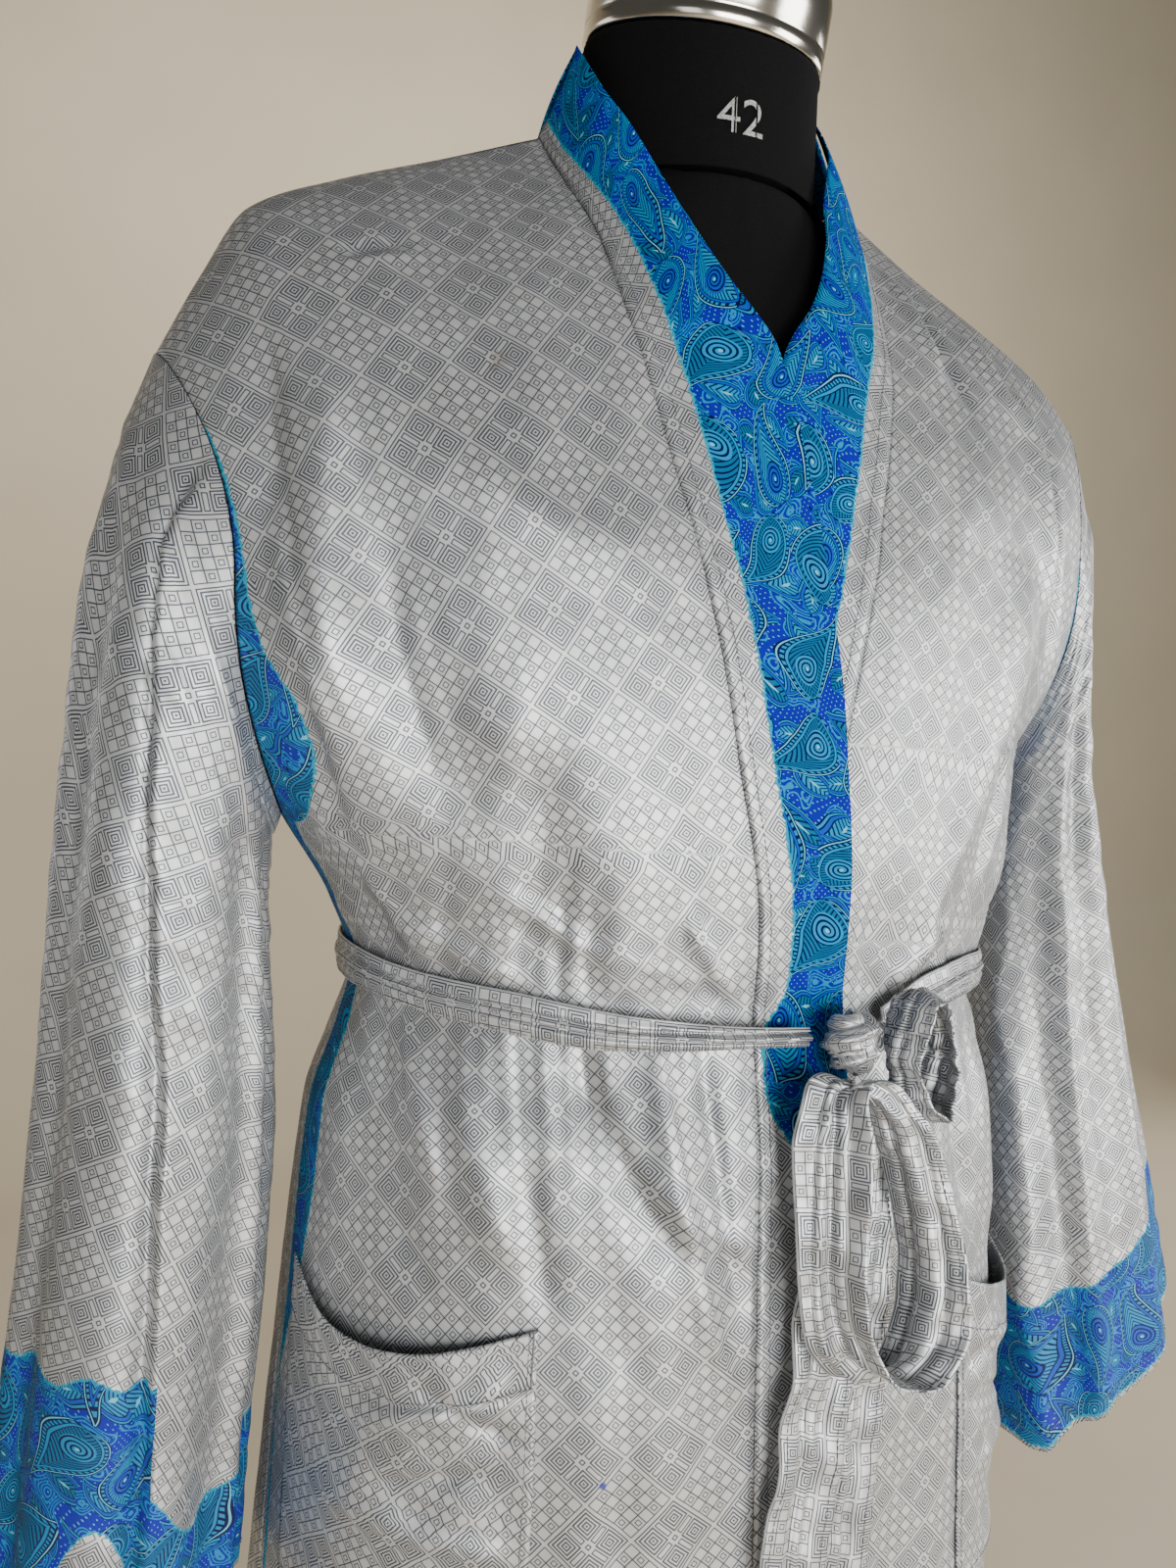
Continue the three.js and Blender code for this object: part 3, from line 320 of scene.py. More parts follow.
# shader node sums, written as plain expressions
class Wire:
    def __init__(self, tree, socket):
        self.tree, self.socket = tree, socket

    def op(self, kind, *others):
        node = self.tree.nodes.new("ShaderNodeMath")
        node.operation = kind
        self.tree.links.new(self.socket, node.inputs[0])
        for i, other in enumerate(others):
            if isinstance(other, Wire):
                self.tree.links.new(other.socket, node.inputs[i + 1])
            else:
                node.inputs[i + 1].default_value = other
        return Wire(self.tree, node.outputs[0])

    def __add__(self, other): return self.op("ADD", other)
    def __sub__(self, other): return self.op("SUBTRACT", other)
    def __mul__(self, other): return self.op("MULTIPLY", other)
    def __truediv__(self, other): return self.op("DIVIDE", other)
    def floor(self): return self.op("FLOOR")
    def size(self): return self.op("ABSOLUTE")
    def sin(self): return self.op("SINE")
    def cos(self): return self.op("COSINE")
    def root(self): return self.op("SQRT")
    def power(self, other): return self.op("POWER", other)
    def wrap(self, other): return self.op("FLOORED_MODULO", other)
    def atLeast(self, other): return self.op("MAXIMUM", other)
    def atMost(self, other): return self.op("MINIMUM", other)
    def below(self, other): return self.op("LESS_THAN", other)
    def above(self, other): return self.op("GREATER_THAN", other)
    def between(self, low, high): return self.above(low) * self.below(high)
    def flipped(self): return self * -1.0 + 1.0

    def eased(self, low, high):
        node = self.tree.nodes.new("ShaderNodeMapRange")
        node.interpolation_type = "SMOOTHSTEP"
        self.tree.links.new(self.socket, node.inputs["Value"])
        node.inputs["From Min"].default_value, node.inputs["From Max"].default_value = low, high
        return Wire(self.tree, node.outputs["Result"])


def addNode(tree, kind, **values):
    node = tree.nodes.new(kind)
    for name, value in values.items():
        setattr(node, name, value)
    return node


def mixColours(tree, share, first, second):
    node = addNode(tree, "ShaderNodeMix", data_type="RGBA")
    for index, value in ((0, share), (6, first), (7, second)):
        if isinstance(value, Wire):
            tree.links.new(value.socket, node.inputs[index])
        elif isinstance(value, (tuple, list)):
            node.inputs[index].default_value = (*value, 1)
        else:
            node.inputs[index].default_value = value
    return Wire(tree, node.outputs[2])


def newGroup(name, inputs, outputs):
    tree = bpy.data.node_groups.new(name, "ShaderNodeTree")
    for label, kind, value in inputs:
        socket = tree.interface.new_socket(label, in_out="INPUT", socket_type=kind)
        if value is not None:
            socket.default_value = value
    for label, kind in outputs:
        tree.interface.new_socket(label, in_out="OUTPUT", socket_type=kind)
    start, end = tree.nodes.new("NodeGroupInput"), tree.nodes.new("NodeGroupOutput")
    return tree, start, end


def splitPlace(tree, socket):
    node = tree.nodes.new("ShaderNodeSeparateXYZ")
    tree.links.new(socket, node.inputs[0])
    return Wire(tree, node.outputs[0]), Wire(tree, node.outputs[1])


def largest(a, b):
    return a.size().atLeast(b.size())


def latticePrintGroup():
    tree, start, end = newGroup("latticePrint",
                                [("Place", "NodeSocketVector", None), ("Tile", "NodeSocketFloat", 28.0)],
                                [("Ink", "NodeSocketFloat"), ("Shade", "NodeSocketFloat")])
    x, y = splitPlace(tree, start.outputs["Place"])
    tile = Wire(tree, start.outputs["Tile"])
    a, b = (x + y) * 0.70711 / tile, (y - x) * 0.70711 / tile
    a0, b0 = a.floor(), b.floor()
    fa, fb = a - a0, b - b0
    other = (a0 + b0).wrap(2.0)
    edge = (fa - 0.5).size().atLeast((fb - 0.5).size())
    # tile with five by five cells, every other one holding a small outlined square
    ca, cb = ((fa - 0.5) / 0.93 + 0.5) * 5.0, ((fb - 0.5) / 0.93 + 0.5) * 5.0
    ia, ib = ca.floor(), cb.floor()
    odd = (ia + ib).wrap(2.0)
    reach = largest(ca - ia - 0.5, cb - ib - 0.5)
    inkA = reach.above(0.442).atLeast(odd * reach.between(0.16, 0.255)) * edge.below(0.473)
    shadeA = odd * reach.above(0.255) * 0.5
    # tile with four nested squares, bars between them and a heart
    p, q = (fa - 0.5).size(), (fb - 0.5).size()
    ring = largest(p - 0.25, q - 0.25)
    rings = ring.between(0.145, 0.173).atLeast(ring.between(0.090, 0.117)).atLeast(ring.between(0.039, 0.065))
    dot = ring.below(0.018)
    barA = ((p - 0.26).size() - 0.155).atLeast(q - 0.052)
    barB = ((q - 0.26).size() - 0.155).atLeast(p - 0.052)
    bars = barA.between(-0.022, 0.0).atLeast(barB.between(-0.022, 0.0))
    inkB = (rings.atLeast(dot).atLeast(bars).atLeast(edge.between(0.022, 0.044))
            .atLeast(edge.between(0.449, 0.473)))
    ink = inkA * other.flipped() + inkB * other
    shade = shadeA * other.flipped()
    tree.links.new(ink.socket, end.inputs["Ink"])
    tree.links.new(shade.socket, end.inputs["Shade"])
    return tree


paisley = {
    "ground": (0.001, 0.007, 0.29), "navy": (0.000, 0.003, 0.045), "blue": (0.001, 0.06, 0.40),
    "turquoise": (0.001, 0.20, 0.43), "teal": (0.001, 0.11, 0.25), "pale": (0.12, 0.45, 0.62),
    "motif": 47.0, "small": 23.0,
}


def botehField(tree, x, y, size, shift, swing):
    # bent drops in a loose brick pattern: millimetres inside the outline, across, along and luck
    b = y / size + shift
    row = b.floor()
    a = x / (size * 0.72) + row.wrap(2.0) * 0.5 + shift * 0.7
    column = a.floor()
    chance = addNode(tree, "ShaderNodeTexWhiteNoise", noise_dimensions="2D")
    both = tree.nodes.new("ShaderNodeCombineXYZ")
    tree.links.new(column.socket, both.inputs[0])
    tree.links.new(row.socket, both.inputs[1])
    tree.links.new(both.outputs[0], chance.inputs["Vector"])
    luck = Wire(tree, chance.outputs["Value"])
    fx, fy = (a - column - 0.5) * 0.72, b - row - 0.5
    flip = (column + row).wrap(2.0) * 2.0 - 1.0
    angle = (luck - 0.5) * swing
    c, s = angle.cos(), angle.sin()
    px, py = (fx * c - fy * s) * flip, (fx * s + fy * c) * flip
    t = ((py + 0.47) / 0.94).atLeast(0.0).atMost(1.0)
    bent = px - t * t * t * 0.34 + 0.07
    round_ = ((t / 0.36).atMost(1.0) - 1.0)
    head = (round_ * round_ * -1.0 + 1.0).root()
    tail = ((t - 0.36) / 0.64).atLeast(0.0).power(1.3).flipped()
    inside = (head * tail * 0.30 - bent.size()) * size
    return inside, bent * size, t, luck


def paisleyGroup():
    tree, start, end = newGroup("paisleyPrint", [("Place", "NodeSocketVector", None)],
                                [("Color", "NodeSocketColor")])
    grain = addNode(tree, "ShaderNodeTexNoise", noise_dimensions="2D")
    grain.inputs["Scale"].default_value = 0.024
    grain.inputs["Detail"].default_value = 0.0
    tree.links.new(start.outputs["Place"], grain.inputs["Vector"])
    warp = Wire(tree, grain.outputs[0])
    x0, y0 = splitPlace(tree, start.outputs["Place"])
    x, y = x0 + (warp - 0.5) * 22.0, y0 + (warp - 0.5) * -18.0
    # ground with tiny dots
    dotX, dotY = ((x + y) / 3.4).wrap(1.0) - 0.5, ((y - x) / 3.4).wrap(1.0) - 0.5
    dots = (dotX * dotX + dotY * dotY).below(0.020)
    colour = mixColours(tree, dots * 0.75, paisley["ground"], paisley["pale"])
    # scrolls: level lines of a smooth field
    field = addNode(tree, "ShaderNodeTexNoise", noise_dimensions="2D")
    field.inputs["Scale"].default_value = 0.085
    field.inputs["Detail"].default_value = 0.0
    tree.links.new(start.outputs["Place"], field.inputs["Vector"])
    level = Wire(tree, field.outputs[0])
    scroll = (level * 62.0).sin()
    onScroll = level.above(0.50)
    colour = mixColours(tree, onScroll * scroll.above(-0.55), colour, paisley["navy"])
    colour = mixColours(tree, onScroll * scroll.above(-0.25), colour, paisley["blue"])
    colour = mixColours(tree, onScroll * scroll.above(0.35), colour, paisley["turquoise"])
    # small drops
    inside, bent, t, luck = botehField(tree, x, y, paisley["small"], 0.37, 5.0)
    tone = mixColours(tree, luck.above(0.45), paisley["teal"], paisley["turquoise"])
    small = mixColours(tree, inside.above(0.7), paisley["turquoise"], paisley["navy"])
    small = mixColours(tree, inside.above(1.15), small, paisley["blue"])
    small = mixColours(tree, inside.above(2.3), small, paisley["navy"])
    veins = ((bent.size() * 0.8 + t * 21.0) * 3.0).sin()
    small = mixColours(tree, inside.above(2.75), small,
                       mixColours(tree, veins.above(0.5), tone, paisley["navy"]))
    small = mixColours(tree, inside.above(6.3), small, paisley["pale"])
    colour = mixColours(tree, inside.above(-0.5), colour, paisley["navy"])
    colour = mixColours(tree, inside.above(0.0), colour, small)
    # large drops: rim, beads, band, then feathers or a curl
    inside, bent, t, luck = botehField(tree, x, y, paisley["motif"], 0.0, 1.1)
    tone = mixColours(tree, luck.above(0.5), paisley["blue"], paisley["turquoise"])
    second = mixColours(tree, luck.above(0.5), paisley["turquoise"], paisley["teal"])
    beads = mixColours(tree, (t * 128.0).sin().above(0.2), paisley["turquoise"], paisley["navy"])
    feather = ((bent.size() * 0.9 + t * 40.0) * 3.1).sin()
    feathers = mixColours(tree, feather.above(0.45), second, paisley["navy"])
    down = (t - 0.30) * paisley["motif"] * 0.94
    radius = (bent * bent + down * down).root()
    curl = (radius * 2.9 + bent.op("ARCTAN2", down)).sin()
    curls = mixColours(tree, curl.above(0.3), tone, paisley["navy"])
    core = mixColours(tree, radius.below(7.2), feathers, curls)
    core = mixColours(tree, radius.below(0.9), core, paisley["pale"])
    large = mixColours(tree, inside.above(0.55), paisley["pale"], paisley["navy"])
    large = mixColours(tree, inside.above(1.25), large, beads)
    large = mixColours(tree, inside.above(2.7), large, paisley["navy"])
    large = mixColours(tree, inside.above(3.15), large, tone)
    large = mixColours(tree, inside.above(4.3), large, paisley["navy"])
    large = mixColours(tree, inside.above(4.75), large, core)
    colour = mixColours(tree, inside.above(-0.7) * t.between(0.005, 0.99), colour, paisley["navy"])
    colour = mixColours(tree, inside.above(0.0) * t.between(0.015, 0.985), colour, large)
    tree.links.new(colour.socket, end.inputs["Color"])
    return tree


def satinWeaveGroup():
    tree, start, end = newGroup("satinWeave", [("Place", "NodeSocketVector", None)],
                                [("Height", "NodeSocketFloat"), ("Tone", "NodeSocketFloat")])
    x, y = splitPlace(tree, start.outputs["Place"])
    both = tree.nodes.new("ShaderNodeCombineXYZ")
    tree.links.new((x * 2.4).socket, both.inputs[0])
    tree.links.new((y * 0.07).socket, both.inputs[1])
    slub = addNode(tree, "ShaderNodeTexNoise", noise_dimensions="2D")
    slub.inputs["Scale"].default_value = 1.0
    slub.inputs["Detail"].default_value = 3.0
    tree.links.new(both.outputs[0], slub.inputs["Vector"])
    twill = ((x * 0.8 + y * 3.2) * 6.2832).sin() * 0.5 + 0.5
    height = Wire(tree, slub.outputs[0]) * 0.7 + twill * 0.3
    tree.links.new(height.socket, end.inputs["Height"])
    broad = addNode(tree, "ShaderNodeTexNoise", noise_dimensions="2D")
    broad.inputs["Scale"].default_value = 0.012
    tree.links.new(start.outputs["Place"], broad.inputs["Vector"])
    tree.links.new((Wire(tree, broad.outputs[0]) * 0.5 + Wire(tree, slub.outputs[0]) * 0.5).socket,
                   end.inputs["Tone"])
    return tree


groups = {"lattice": latticePrintGroup(), "paisley": paisleyGroup(), "weave": satinWeaveGroup()}
print("print groups made")

silk = {"silver": (0.60, 0.605, 0.61), "cell": (0.44, 0.445, 0.455), "ink": (0.05, 0.062, 0.085),
        "raggedEdge": (0.003, 0.26, 0.38), "roughness": 0.44, "metal": 0.55}


def useGroup(tree, name, place):
    node = addNode(tree, "ShaderNodeGroup", node_tree=groups[name])
    tree.links.new(place, node.inputs["Place"])
    return node


def printedSilk(name, grainTurn=0.0, stains=(), specular=0.42):
    material = bpy.data.materials.new(name)
    material.use_nodes = True
    tree = material.node_tree
    shader = tree.nodes["Principled BSDF"]
    uv = addNode(tree, "ShaderNodeUVMap", uv_map="cloth")
    scaled = addNode(tree, "ShaderNodeVectorMath", operation="SCALE")
    scaled.inputs["Scale"].default_value = 1000.0
    tree.links.new(uv.outputs[0], scaled.inputs[0])
    place = scaled.outputs[0]
    turned = addNode(tree, "ShaderNodeVectorRotate", rotation_type="Z_AXIS")
    turned.inputs["Angle"].default_value = math.radians(grainTurn)
    tree.links.new(place, turned.inputs["Vector"])
    lattice = useGroup(tree, "lattice", turned.outputs[0])
    weave = useGroup(tree, "weave", place)
    flowers = useGroup(tree, "paisley", place)
    tone = Wire(tree, weave.outputs["Tone"])
    ground = mixColours(tree, Wire(tree, lattice.outputs["Shade"]) * 0.8, silk["silver"], silk["cell"])
    silver = mixColours(tree, Wire(tree, lattice.outputs["Ink"]) * 0.96, ground, silk["ink"])
    silver = mixColours(tree, tone.eased(0.35, 0.75) * 0.16, silver, (0.30, 0.31, 0.33))
    x, y = splitPlace(tree, place)
    for stainX, stainY, radius, colour, strength in stains:
        dx, dy = x - stainX, y - stainY
        spot = (dx * dx + dy * dy).root().eased(radius * 1.3, radius * 0.5) * strength
        silver = mixColours(tree, spot, silver, colour)
    border = addNode(tree, "ShaderNodeAttribute", attribute_name="border")
    ragged = addNode(tree, "ShaderNodeTexNoise", noise_dimensions="2D")
    ragged.inputs["Scale"].default_value = 0.45
    ragged.inputs["Detail"].default_value = 3.0
    tree.links.new(place, ragged.inputs["Vector"])
    inside = Wire(tree, border.outputs["Fac"]) + (Wire(tree, ragged.outputs[0]) - 0.5) * 4.5
    printed = mixColours(tree, inside.below(1.3), Wire(tree, flowers.outputs["Color"]), silk["raggedEdge"])
    colour = mixColours(tree, inside.above(0.0), silver, printed)
    tree.links.new(colour.socket, shader.inputs["Base Color"])
    rough = (Wire(tree, lattice.outputs["Ink"]) * 0.08 + tone * 0.10 + (silk["roughness"] - 0.05))
    tree.links.new((rough + inside.above(0.0) * 0.32).socket, shader.inputs["Roughness"])
    bump = tree.nodes.new("ShaderNodeBump")
    bump.inputs["Strength"].default_value = 0.12
    bump.inputs["Distance"].default_value = 0.0004
    tree.links.new(weave.outputs["Height"], bump.inputs["Height"])
    tree.links.new(bump.outputs[0], shader.inputs["Normal"])
    blue = inside.above(0.0)
    tree.links.new((blue.flipped() * silk["metal"]).socket, shader.inputs["Metallic"])
    shader.inputs["Specular IOR Level"].default_value = specular
    shader.inputs["Anisotropic"].default_value = 0.3
    return material


def plainFinish(name, colour, roughness, metallic=0.0, grainSize=400.0, grain=0.1, specular=0.5):
    material = bpy.data.materials.new(name)
    material.use_nodes = True
    tree = material.node_tree
    shader = tree.nodes["Principled BSDF"]
    place = tree.nodes.new("ShaderNodeTexCoord")
    speckle = tree.nodes.new("ShaderNodeTexNoise")
    speckle.inputs["Scale"].default_value = grainSize
    tree.links.new(place.outputs["Object"], speckle.inputs["Vector"])
    value = Wire(tree, speckle.outputs[0])
    tree.links.new(mixColours(tree, value.eased(0.3, 0.7), colour,
                              tuple(c * (1 - 2 * grain) for c in colour)).socket,
                   shader.inputs["Base Color"])
    tree.links.new((value * grain + roughness).socket, shader.inputs["Roughness"])
    bump = tree.nodes.new("ShaderNodeBump")
    bump.inputs["Strength"].default_value = grain
    bump.inputs["Distance"].default_value = 0.0003
    tree.links.new(speckle.outputs[0], bump.inputs["Height"])
    tree.links.new(bump.outputs[0], shader.inputs["Normal"])
    shader.inputs["Metallic"].default_value = metallic
    shader.inputs["Specular IOR Level"].default_value = specular
    return material


finishes = {
    "thread": plainFinish("threadSilver", (0.17, 0.18, 0.205), 0.6, grainSize=3000),
    "cover": plainFinish("stretchCover", (0.006, 0.006, 0.007), 0.85, grainSize=2500, grain=0.3,
                         specular=0.12),
    "chrome": plainFinish("neckCapMetal", (0.74, 0.70, 0.62), 0.14, 1.0, 60, 0.06),
    "paint": plainFinish("standPaint", (0.02, 0.02, 0.022), 0.35, 0.0, 900, 0.1),
    "stencil": plainFinish("stencilPaint", (0.42, 0.43, 0.42), 0.7, 0.0, 700, 0.25),
}


# mesh making
def flattened(grid, grainDown):
    # lays the grid's coarse copy flat, turns it so that the two grainDown points run down, and returns metres
    rows, columns = grid.shape[:2]
    pickRows = sorted(set(np.round(np.linspace(0, rows - 1, min(rows, 120))).astype(int)))
    pickColumns = sorted(set(np.round(np.linspace(0, columns - 1, min(columns, 40))).astype(int)))
    coarse = grid[np.ix_(pickRows, pickColumns)]
    m, n = coarse.shape[:2]
    faces = [(r * n + c, (r + 1) * n + c, (r + 1) * n + c + 1, r * n + c + 1)
             for r in range(m - 1) for c in range(n - 1)]
    mesh = bpy.data.meshes.new("flatWork")
    mesh.from_pydata((coarse.reshape(-1, 3) * 0.001).tolist(), [], faces)
    mesh.uv_layers.new(name="flat")
    obj = bpy.data.objects.new("flatWork", mesh)
    bpy.context.scene.collection.objects.link(obj)
    bpy.ops.object.select_all(action="DESELECT")
    bpy.context.view_layer.objects.active = obj
    obj.select_set(True)
    bpy.ops.object.mode_set(mode="EDIT")
    bpy.ops.mesh.select_all(action="SELECT")
    bpy.ops.uv.unwrap(method="ANGLE_BASED", margin=0.0)
    bpy.ops.object.mode_set(mode="OBJECT")
    data = np.empty(len(mesh.loops) * 2)
    mesh.uv_layers["flat"].data.foreach_get("uv", data)
    index = np.empty(len(mesh.loops), dtype=int)
    mesh.loops.foreach_get("vertex_index", index)
    flat = np.zeros((m * n, 2))
    flat[index] = data.reshape(-1, 2)
    bpy.data.objects.remove(obj)
    bpy.data.meshes.remove(mesh)
    flat = flat.reshape(m, n, 2)
    worldLength = (np.linalg.norm(np.diff(coarse, axis=0), axis=-1).sum()
                   + np.linalg.norm(np.diff(coarse, axis=1), axis=-1).sum())
    flatLength = (np.linalg.norm(np.diff(flat, axis=0), axis=-1).sum()
                  + np.linalg.norm(np.diff(flat, axis=1), axis=-1).sum())
    flat *= worldLength * 0.001 / flatLength
    (r1, c1), (r2, c2) = grainDown
    at = lambda r, c: flat[int(round(r * (m - 1))), int(round(c * (n - 1)))]
    down = at(r2, c2) - at(r1, c1)
    turn = -math.pi / 2 - math.atan2(down[1], down[0])
    c, s = math.cos(turn), math.sin(turn)
    flat = flat @ np.array([[c, s], [-s, c]])
    across = flat[m // 2, -1] - flat[m // 2, 0]
    if across[0] < 0:
        flat[..., 0] *= -1
    flat -= flat[m // 2, n // 2]
    full = np.empty((rows, n, 2))
    for k in range(2):
        for j in range(n):
            full[:, j, k] = np.interp(range(rows), pickRows, flat[:, j, k])
    out = np.empty((rows, columns, 2))
    for k in range(2):
        for i in range(rows):
            out[i, :, k] = np.interp(range(columns), pickColumns, full[i, :, k])
    return out


def stripPlaces(grid):
    # straight strips: distance across from the middle column, and distance down the middle column
    across = np.linalg.norm(np.diff(grid, axis=1), axis=-1).cumsum(axis=1)
    across = np.concatenate([np.zeros((len(grid), 1)), across], axis=1)
    middle = grid[:, grid.shape[1] // 2]
    down = np.concatenate([[0], np.linalg.norm(np.diff(middle, axis=0), axis=-1).cumsum()])
    return np.stack([across, -np.broadcast_to(down[:, None], across.shape)], axis=-1) * 0.001


def addCloth(name, grid, material, node=None, border=None, places=None, wall=None):
    rows, columns = grid.shape[:2]
    index = np.arange(rows * columns).reshape(rows, columns)
    faces = np.stack([index[:-1, :-1], index[1:, :-1], index[1:, 1:], index[:-1, 1:]], axis=-1).reshape(-1, 4)
    mesh = bpy.data.meshes.new(name)
    mesh.from_pydata(toMetres(grid).reshape(-1, 3).tolist(), [], faces.tolist())
    places = stripPlaces(grid) if places is None else places
    layer = mesh.uv_layers.new(name="cloth")
    loops = np.empty(len(mesh.loops), dtype=int)
    mesh.loops.foreach_get("vertex_index", loops)
    layer.data.foreach_set("uv", places.reshape(-1, 2)[loops].ravel())
    edge = mesh.attributes.new("border", "FLOAT", "POINT")
    values = np.full(rows * columns, tidyFar) if border is None else np.asarray(border, dtype=float).ravel()
    edge.data.foreach_set("value", values)
    mesh.polygons.foreach_set("use_smooth", [True] * len(mesh.polygons))
    mesh.materials.append(material)
    obj = bpy.data.objects.new(name, mesh)
    bpy.context.scene.collection.objects.link(obj)
    solid = obj.modifiers.new("wall", "SOLIDIFY")
    solid.thickness = (wall or robe["wall"]) * 0.001
    solid.offset = -1.0
    solid.use_even_offset = False
    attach(obj, "root")
    if node:
        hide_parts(node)
    return obj


def clothArea(grid):
    a = np.cross(grid[1:, :-1] - grid[:-1, :-1], grid[:-1, 1:] - grid[:-1, :-1])
    b = np.cross(grid[1:, :-1] - grid[1:, 1:], grid[:-1, 1:] - grid[1:, 1:])
    return float((np.linalg.norm(a, axis=-1).sum() + np.linalg.norm(b, axis=-1).sum()) / 2e6)


def declareSheet(grid, flat, restsOn):
    area = min(clothArea(grid), flat[0] * flat[1])


def addStitches(name, line, normals, length=2.4, pitch=3.3, radius=0.28, lift=0.25, material=None,
                uneven=0.15, seed=1):
    # small thread bars along a line of points, each lying on the cloth
    rng = np.random.default_rng(seed)
    line, normals = np.asarray(line, dtype=float), np.asarray(normals, dtype=float)
    walk = np.concatenate([[0], np.linalg.norm(np.diff(line, axis=0), axis=-1).cumsum()])
    at = lambda d, data: np.array([np.interp(d, walk, data[:, k]) for k in range(3)])
    verts, faces = [], []
    for k in range(int(walk[-1] / pitch)):
        start = (k + 0.2 + uneven * rng.uniform(-1, 1)) * pitch
        one = []
        for share, thick, sink in ((0, 0.35, 0.5), (0.25, 1, 0.05), (0.75, 1, 0.05), (1, 0.35, 0.5)):
            d = min(max(start + share * length, 0), walk[-1])
            p, n = at(d, line), at(d, normals)
            run = at(min(d + 0.5, walk[-1]), line) - at(max(d - 0.5, 0), line)
            run /= max(np.linalg.norm(run), 1e-9)
            side = np.cross(n, run)
            side /= max(np.linalg.norm(side), 1e-9)
            centre = p + n * (lift - sink * radius)
            one.append([centre + (side * math.cos(a) + n * math.sin(a)) * radius * thick
                        for a in (0, 1.257, 2.513, 3.77, 5.027)])
        base = len(verts)
        verts += [v for ring in one for v in ring]
        for i in range(3):
            for j in range(5):
                a, b = base + i * 5 + j, base + i * 5 + (j + 1) % 5
                faces.append((a, b, b + 5, a + 5))
        faces += [tuple(base + j for j in range(4, -1, -1)), tuple(base + 15 + j for j in range(5))]
    mesh = bpy.data.meshes.new(name)
    mesh.from_pydata(toMetres(np.array(verts)).tolist(), [], faces)
    mesh.polygons.foreach_set("use_smooth", [True] * len(mesh.polygons))
    mesh.materials.append(material or finishes["thread"])
    obj = bpy.data.objects.new(name, mesh)
    bpy.context.scene.collection.objects.link(obj)
    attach(obj, "root")
    return obj


# camera and light
view = {"place": (-0.281, -0.630, 1.155), "turn": 19.8, "down": 3.3, "roll": 1.8, "lens": 27.0}


def addCamera():
    turn, down, roll = (math.radians(view[k]) for k in ("turn", "down", "roll"))
    right = Vector((math.cos(turn), -math.sin(turn), 0))
    ahead = Vector((math.sin(turn), math.cos(turn), 0)) * math.cos(down) + Vector((0, 0, -1)) * math.sin(down)
    up = right.cross(ahead)
    side = right * math.cos(roll) + up * math.sin(roll)
    top = up * math.cos(roll) - right * math.sin(roll)
    data = bpy.data.cameras.new("camera")
    data.lens, data.sensor_width = view["lens"], 36.0
    camera = bpy.data.objects.new("camera", data)
    bpy.context.scene.collection.objects.link(camera)
    matrix = camera.matrix_world.copy()
    for i in range(3):
        matrix[i][0], matrix[i][1], matrix[i][2], matrix[i][3] = side[i], top[i], -ahead[i], view["place"][i]
    camera.matrix_world = matrix
    bpy.context.scene.camera = camera


lights = [  # place, aim, width, height, power, colour
    ((0.1, -2.55, 0.90), (0.0, 0.0, 1.05), 1.5, 1.2, 80.0, (1.0, 0.985, 0.96)),
    ((2.2, -1.35, 1.15), (0.1, 0.0, 1.10), 1.2, 1.4, 58.0, (1.0, 0.985, 0.96)),
    ((-1.7, -2.2, 1.1), (-0.1, 0.0, 1.1), 0.9, 1.4, 7.0, (0.94, 0.97, 1.0)),
    ((3.2, 1.3, 1.3), (0.0, 0.0, 0.95), 1.0, 1.4, 28.0, (1.0, 0.98, 0.95)),
    ((-2.4, 1.9, 1.2), (0.0, 0.0, 0.95), 1.0, 1.4, 8.0, (0.95, 0.97, 1.0)),
    ((0.5, 1.2, 2.9), (0.5, 3.1, 2.3), 3.2, 0.8, 42.0, (1.0, 0.95, 0.86)),
]


def addLights():
    for i, (place, aim, width, height, power, colour) in enumerate(lights):
        data = bpy.data.lights.new(f"softLight{i}", "AREA")
        data.shape = "RECTANGLE"
        data.size, data.size_y, data.energy, data.color = width, height, power, colour
        lamp = bpy.data.objects.new(f"softLight{i}", data)
        lamp.location = place
        lamp.rotation_euler = (Vector(aim) - Vector(place)).to_track_quat("-Z", "Y").to_euler()
        bpy.context.scene.collection.objects.link(lamp)
    world = bpy.data.worlds.new("studioAir")
    world.use_nodes = True
    world.node_tree.nodes["Background"].inputs[0].default_value = (0.86, 0.84, 0.80, 1)
    world.node_tree.nodes["Background"].inputs[1].default_value = 0.09
    bpy.context.scene.world = world


def addFloor():
    # floor with a backdrop that rises from it in one sweep
    rows = ([(-5.0, 0.0)] + [(2.2 + 0.9 * math.sin(a), 0.9 - 0.9 * math.cos(a))
                             for a in np.linspace(0, math.pi / 2, 14)] + [(3.1, 5.0)])
    verts = [(x, y, z) for y, z in rows for x in (-6.0, 6.0)]
    faces = [(2 * i, 2 * i + 1, 2 * i + 3, 2 * i + 2) for i in range(len(rows) - 1)]
    mesh = bpy.data.meshes.new("floor")
    mesh.from_pydata(verts, [], faces)
    mesh.polygons.foreach_set("use_smooth", [True] * len(faces))
    mesh.materials.append(plainFinish("paleFloor", (0.66, 0.58, 0.44), 0.85, 0.0, 3, 0.02))
    floor = bpy.data.objects.new("floor", mesh)
    bpy.context.scene.collection.objects.link(floor)


addCamera()
addLights()
addFloor()
print("camera, light and floor made")

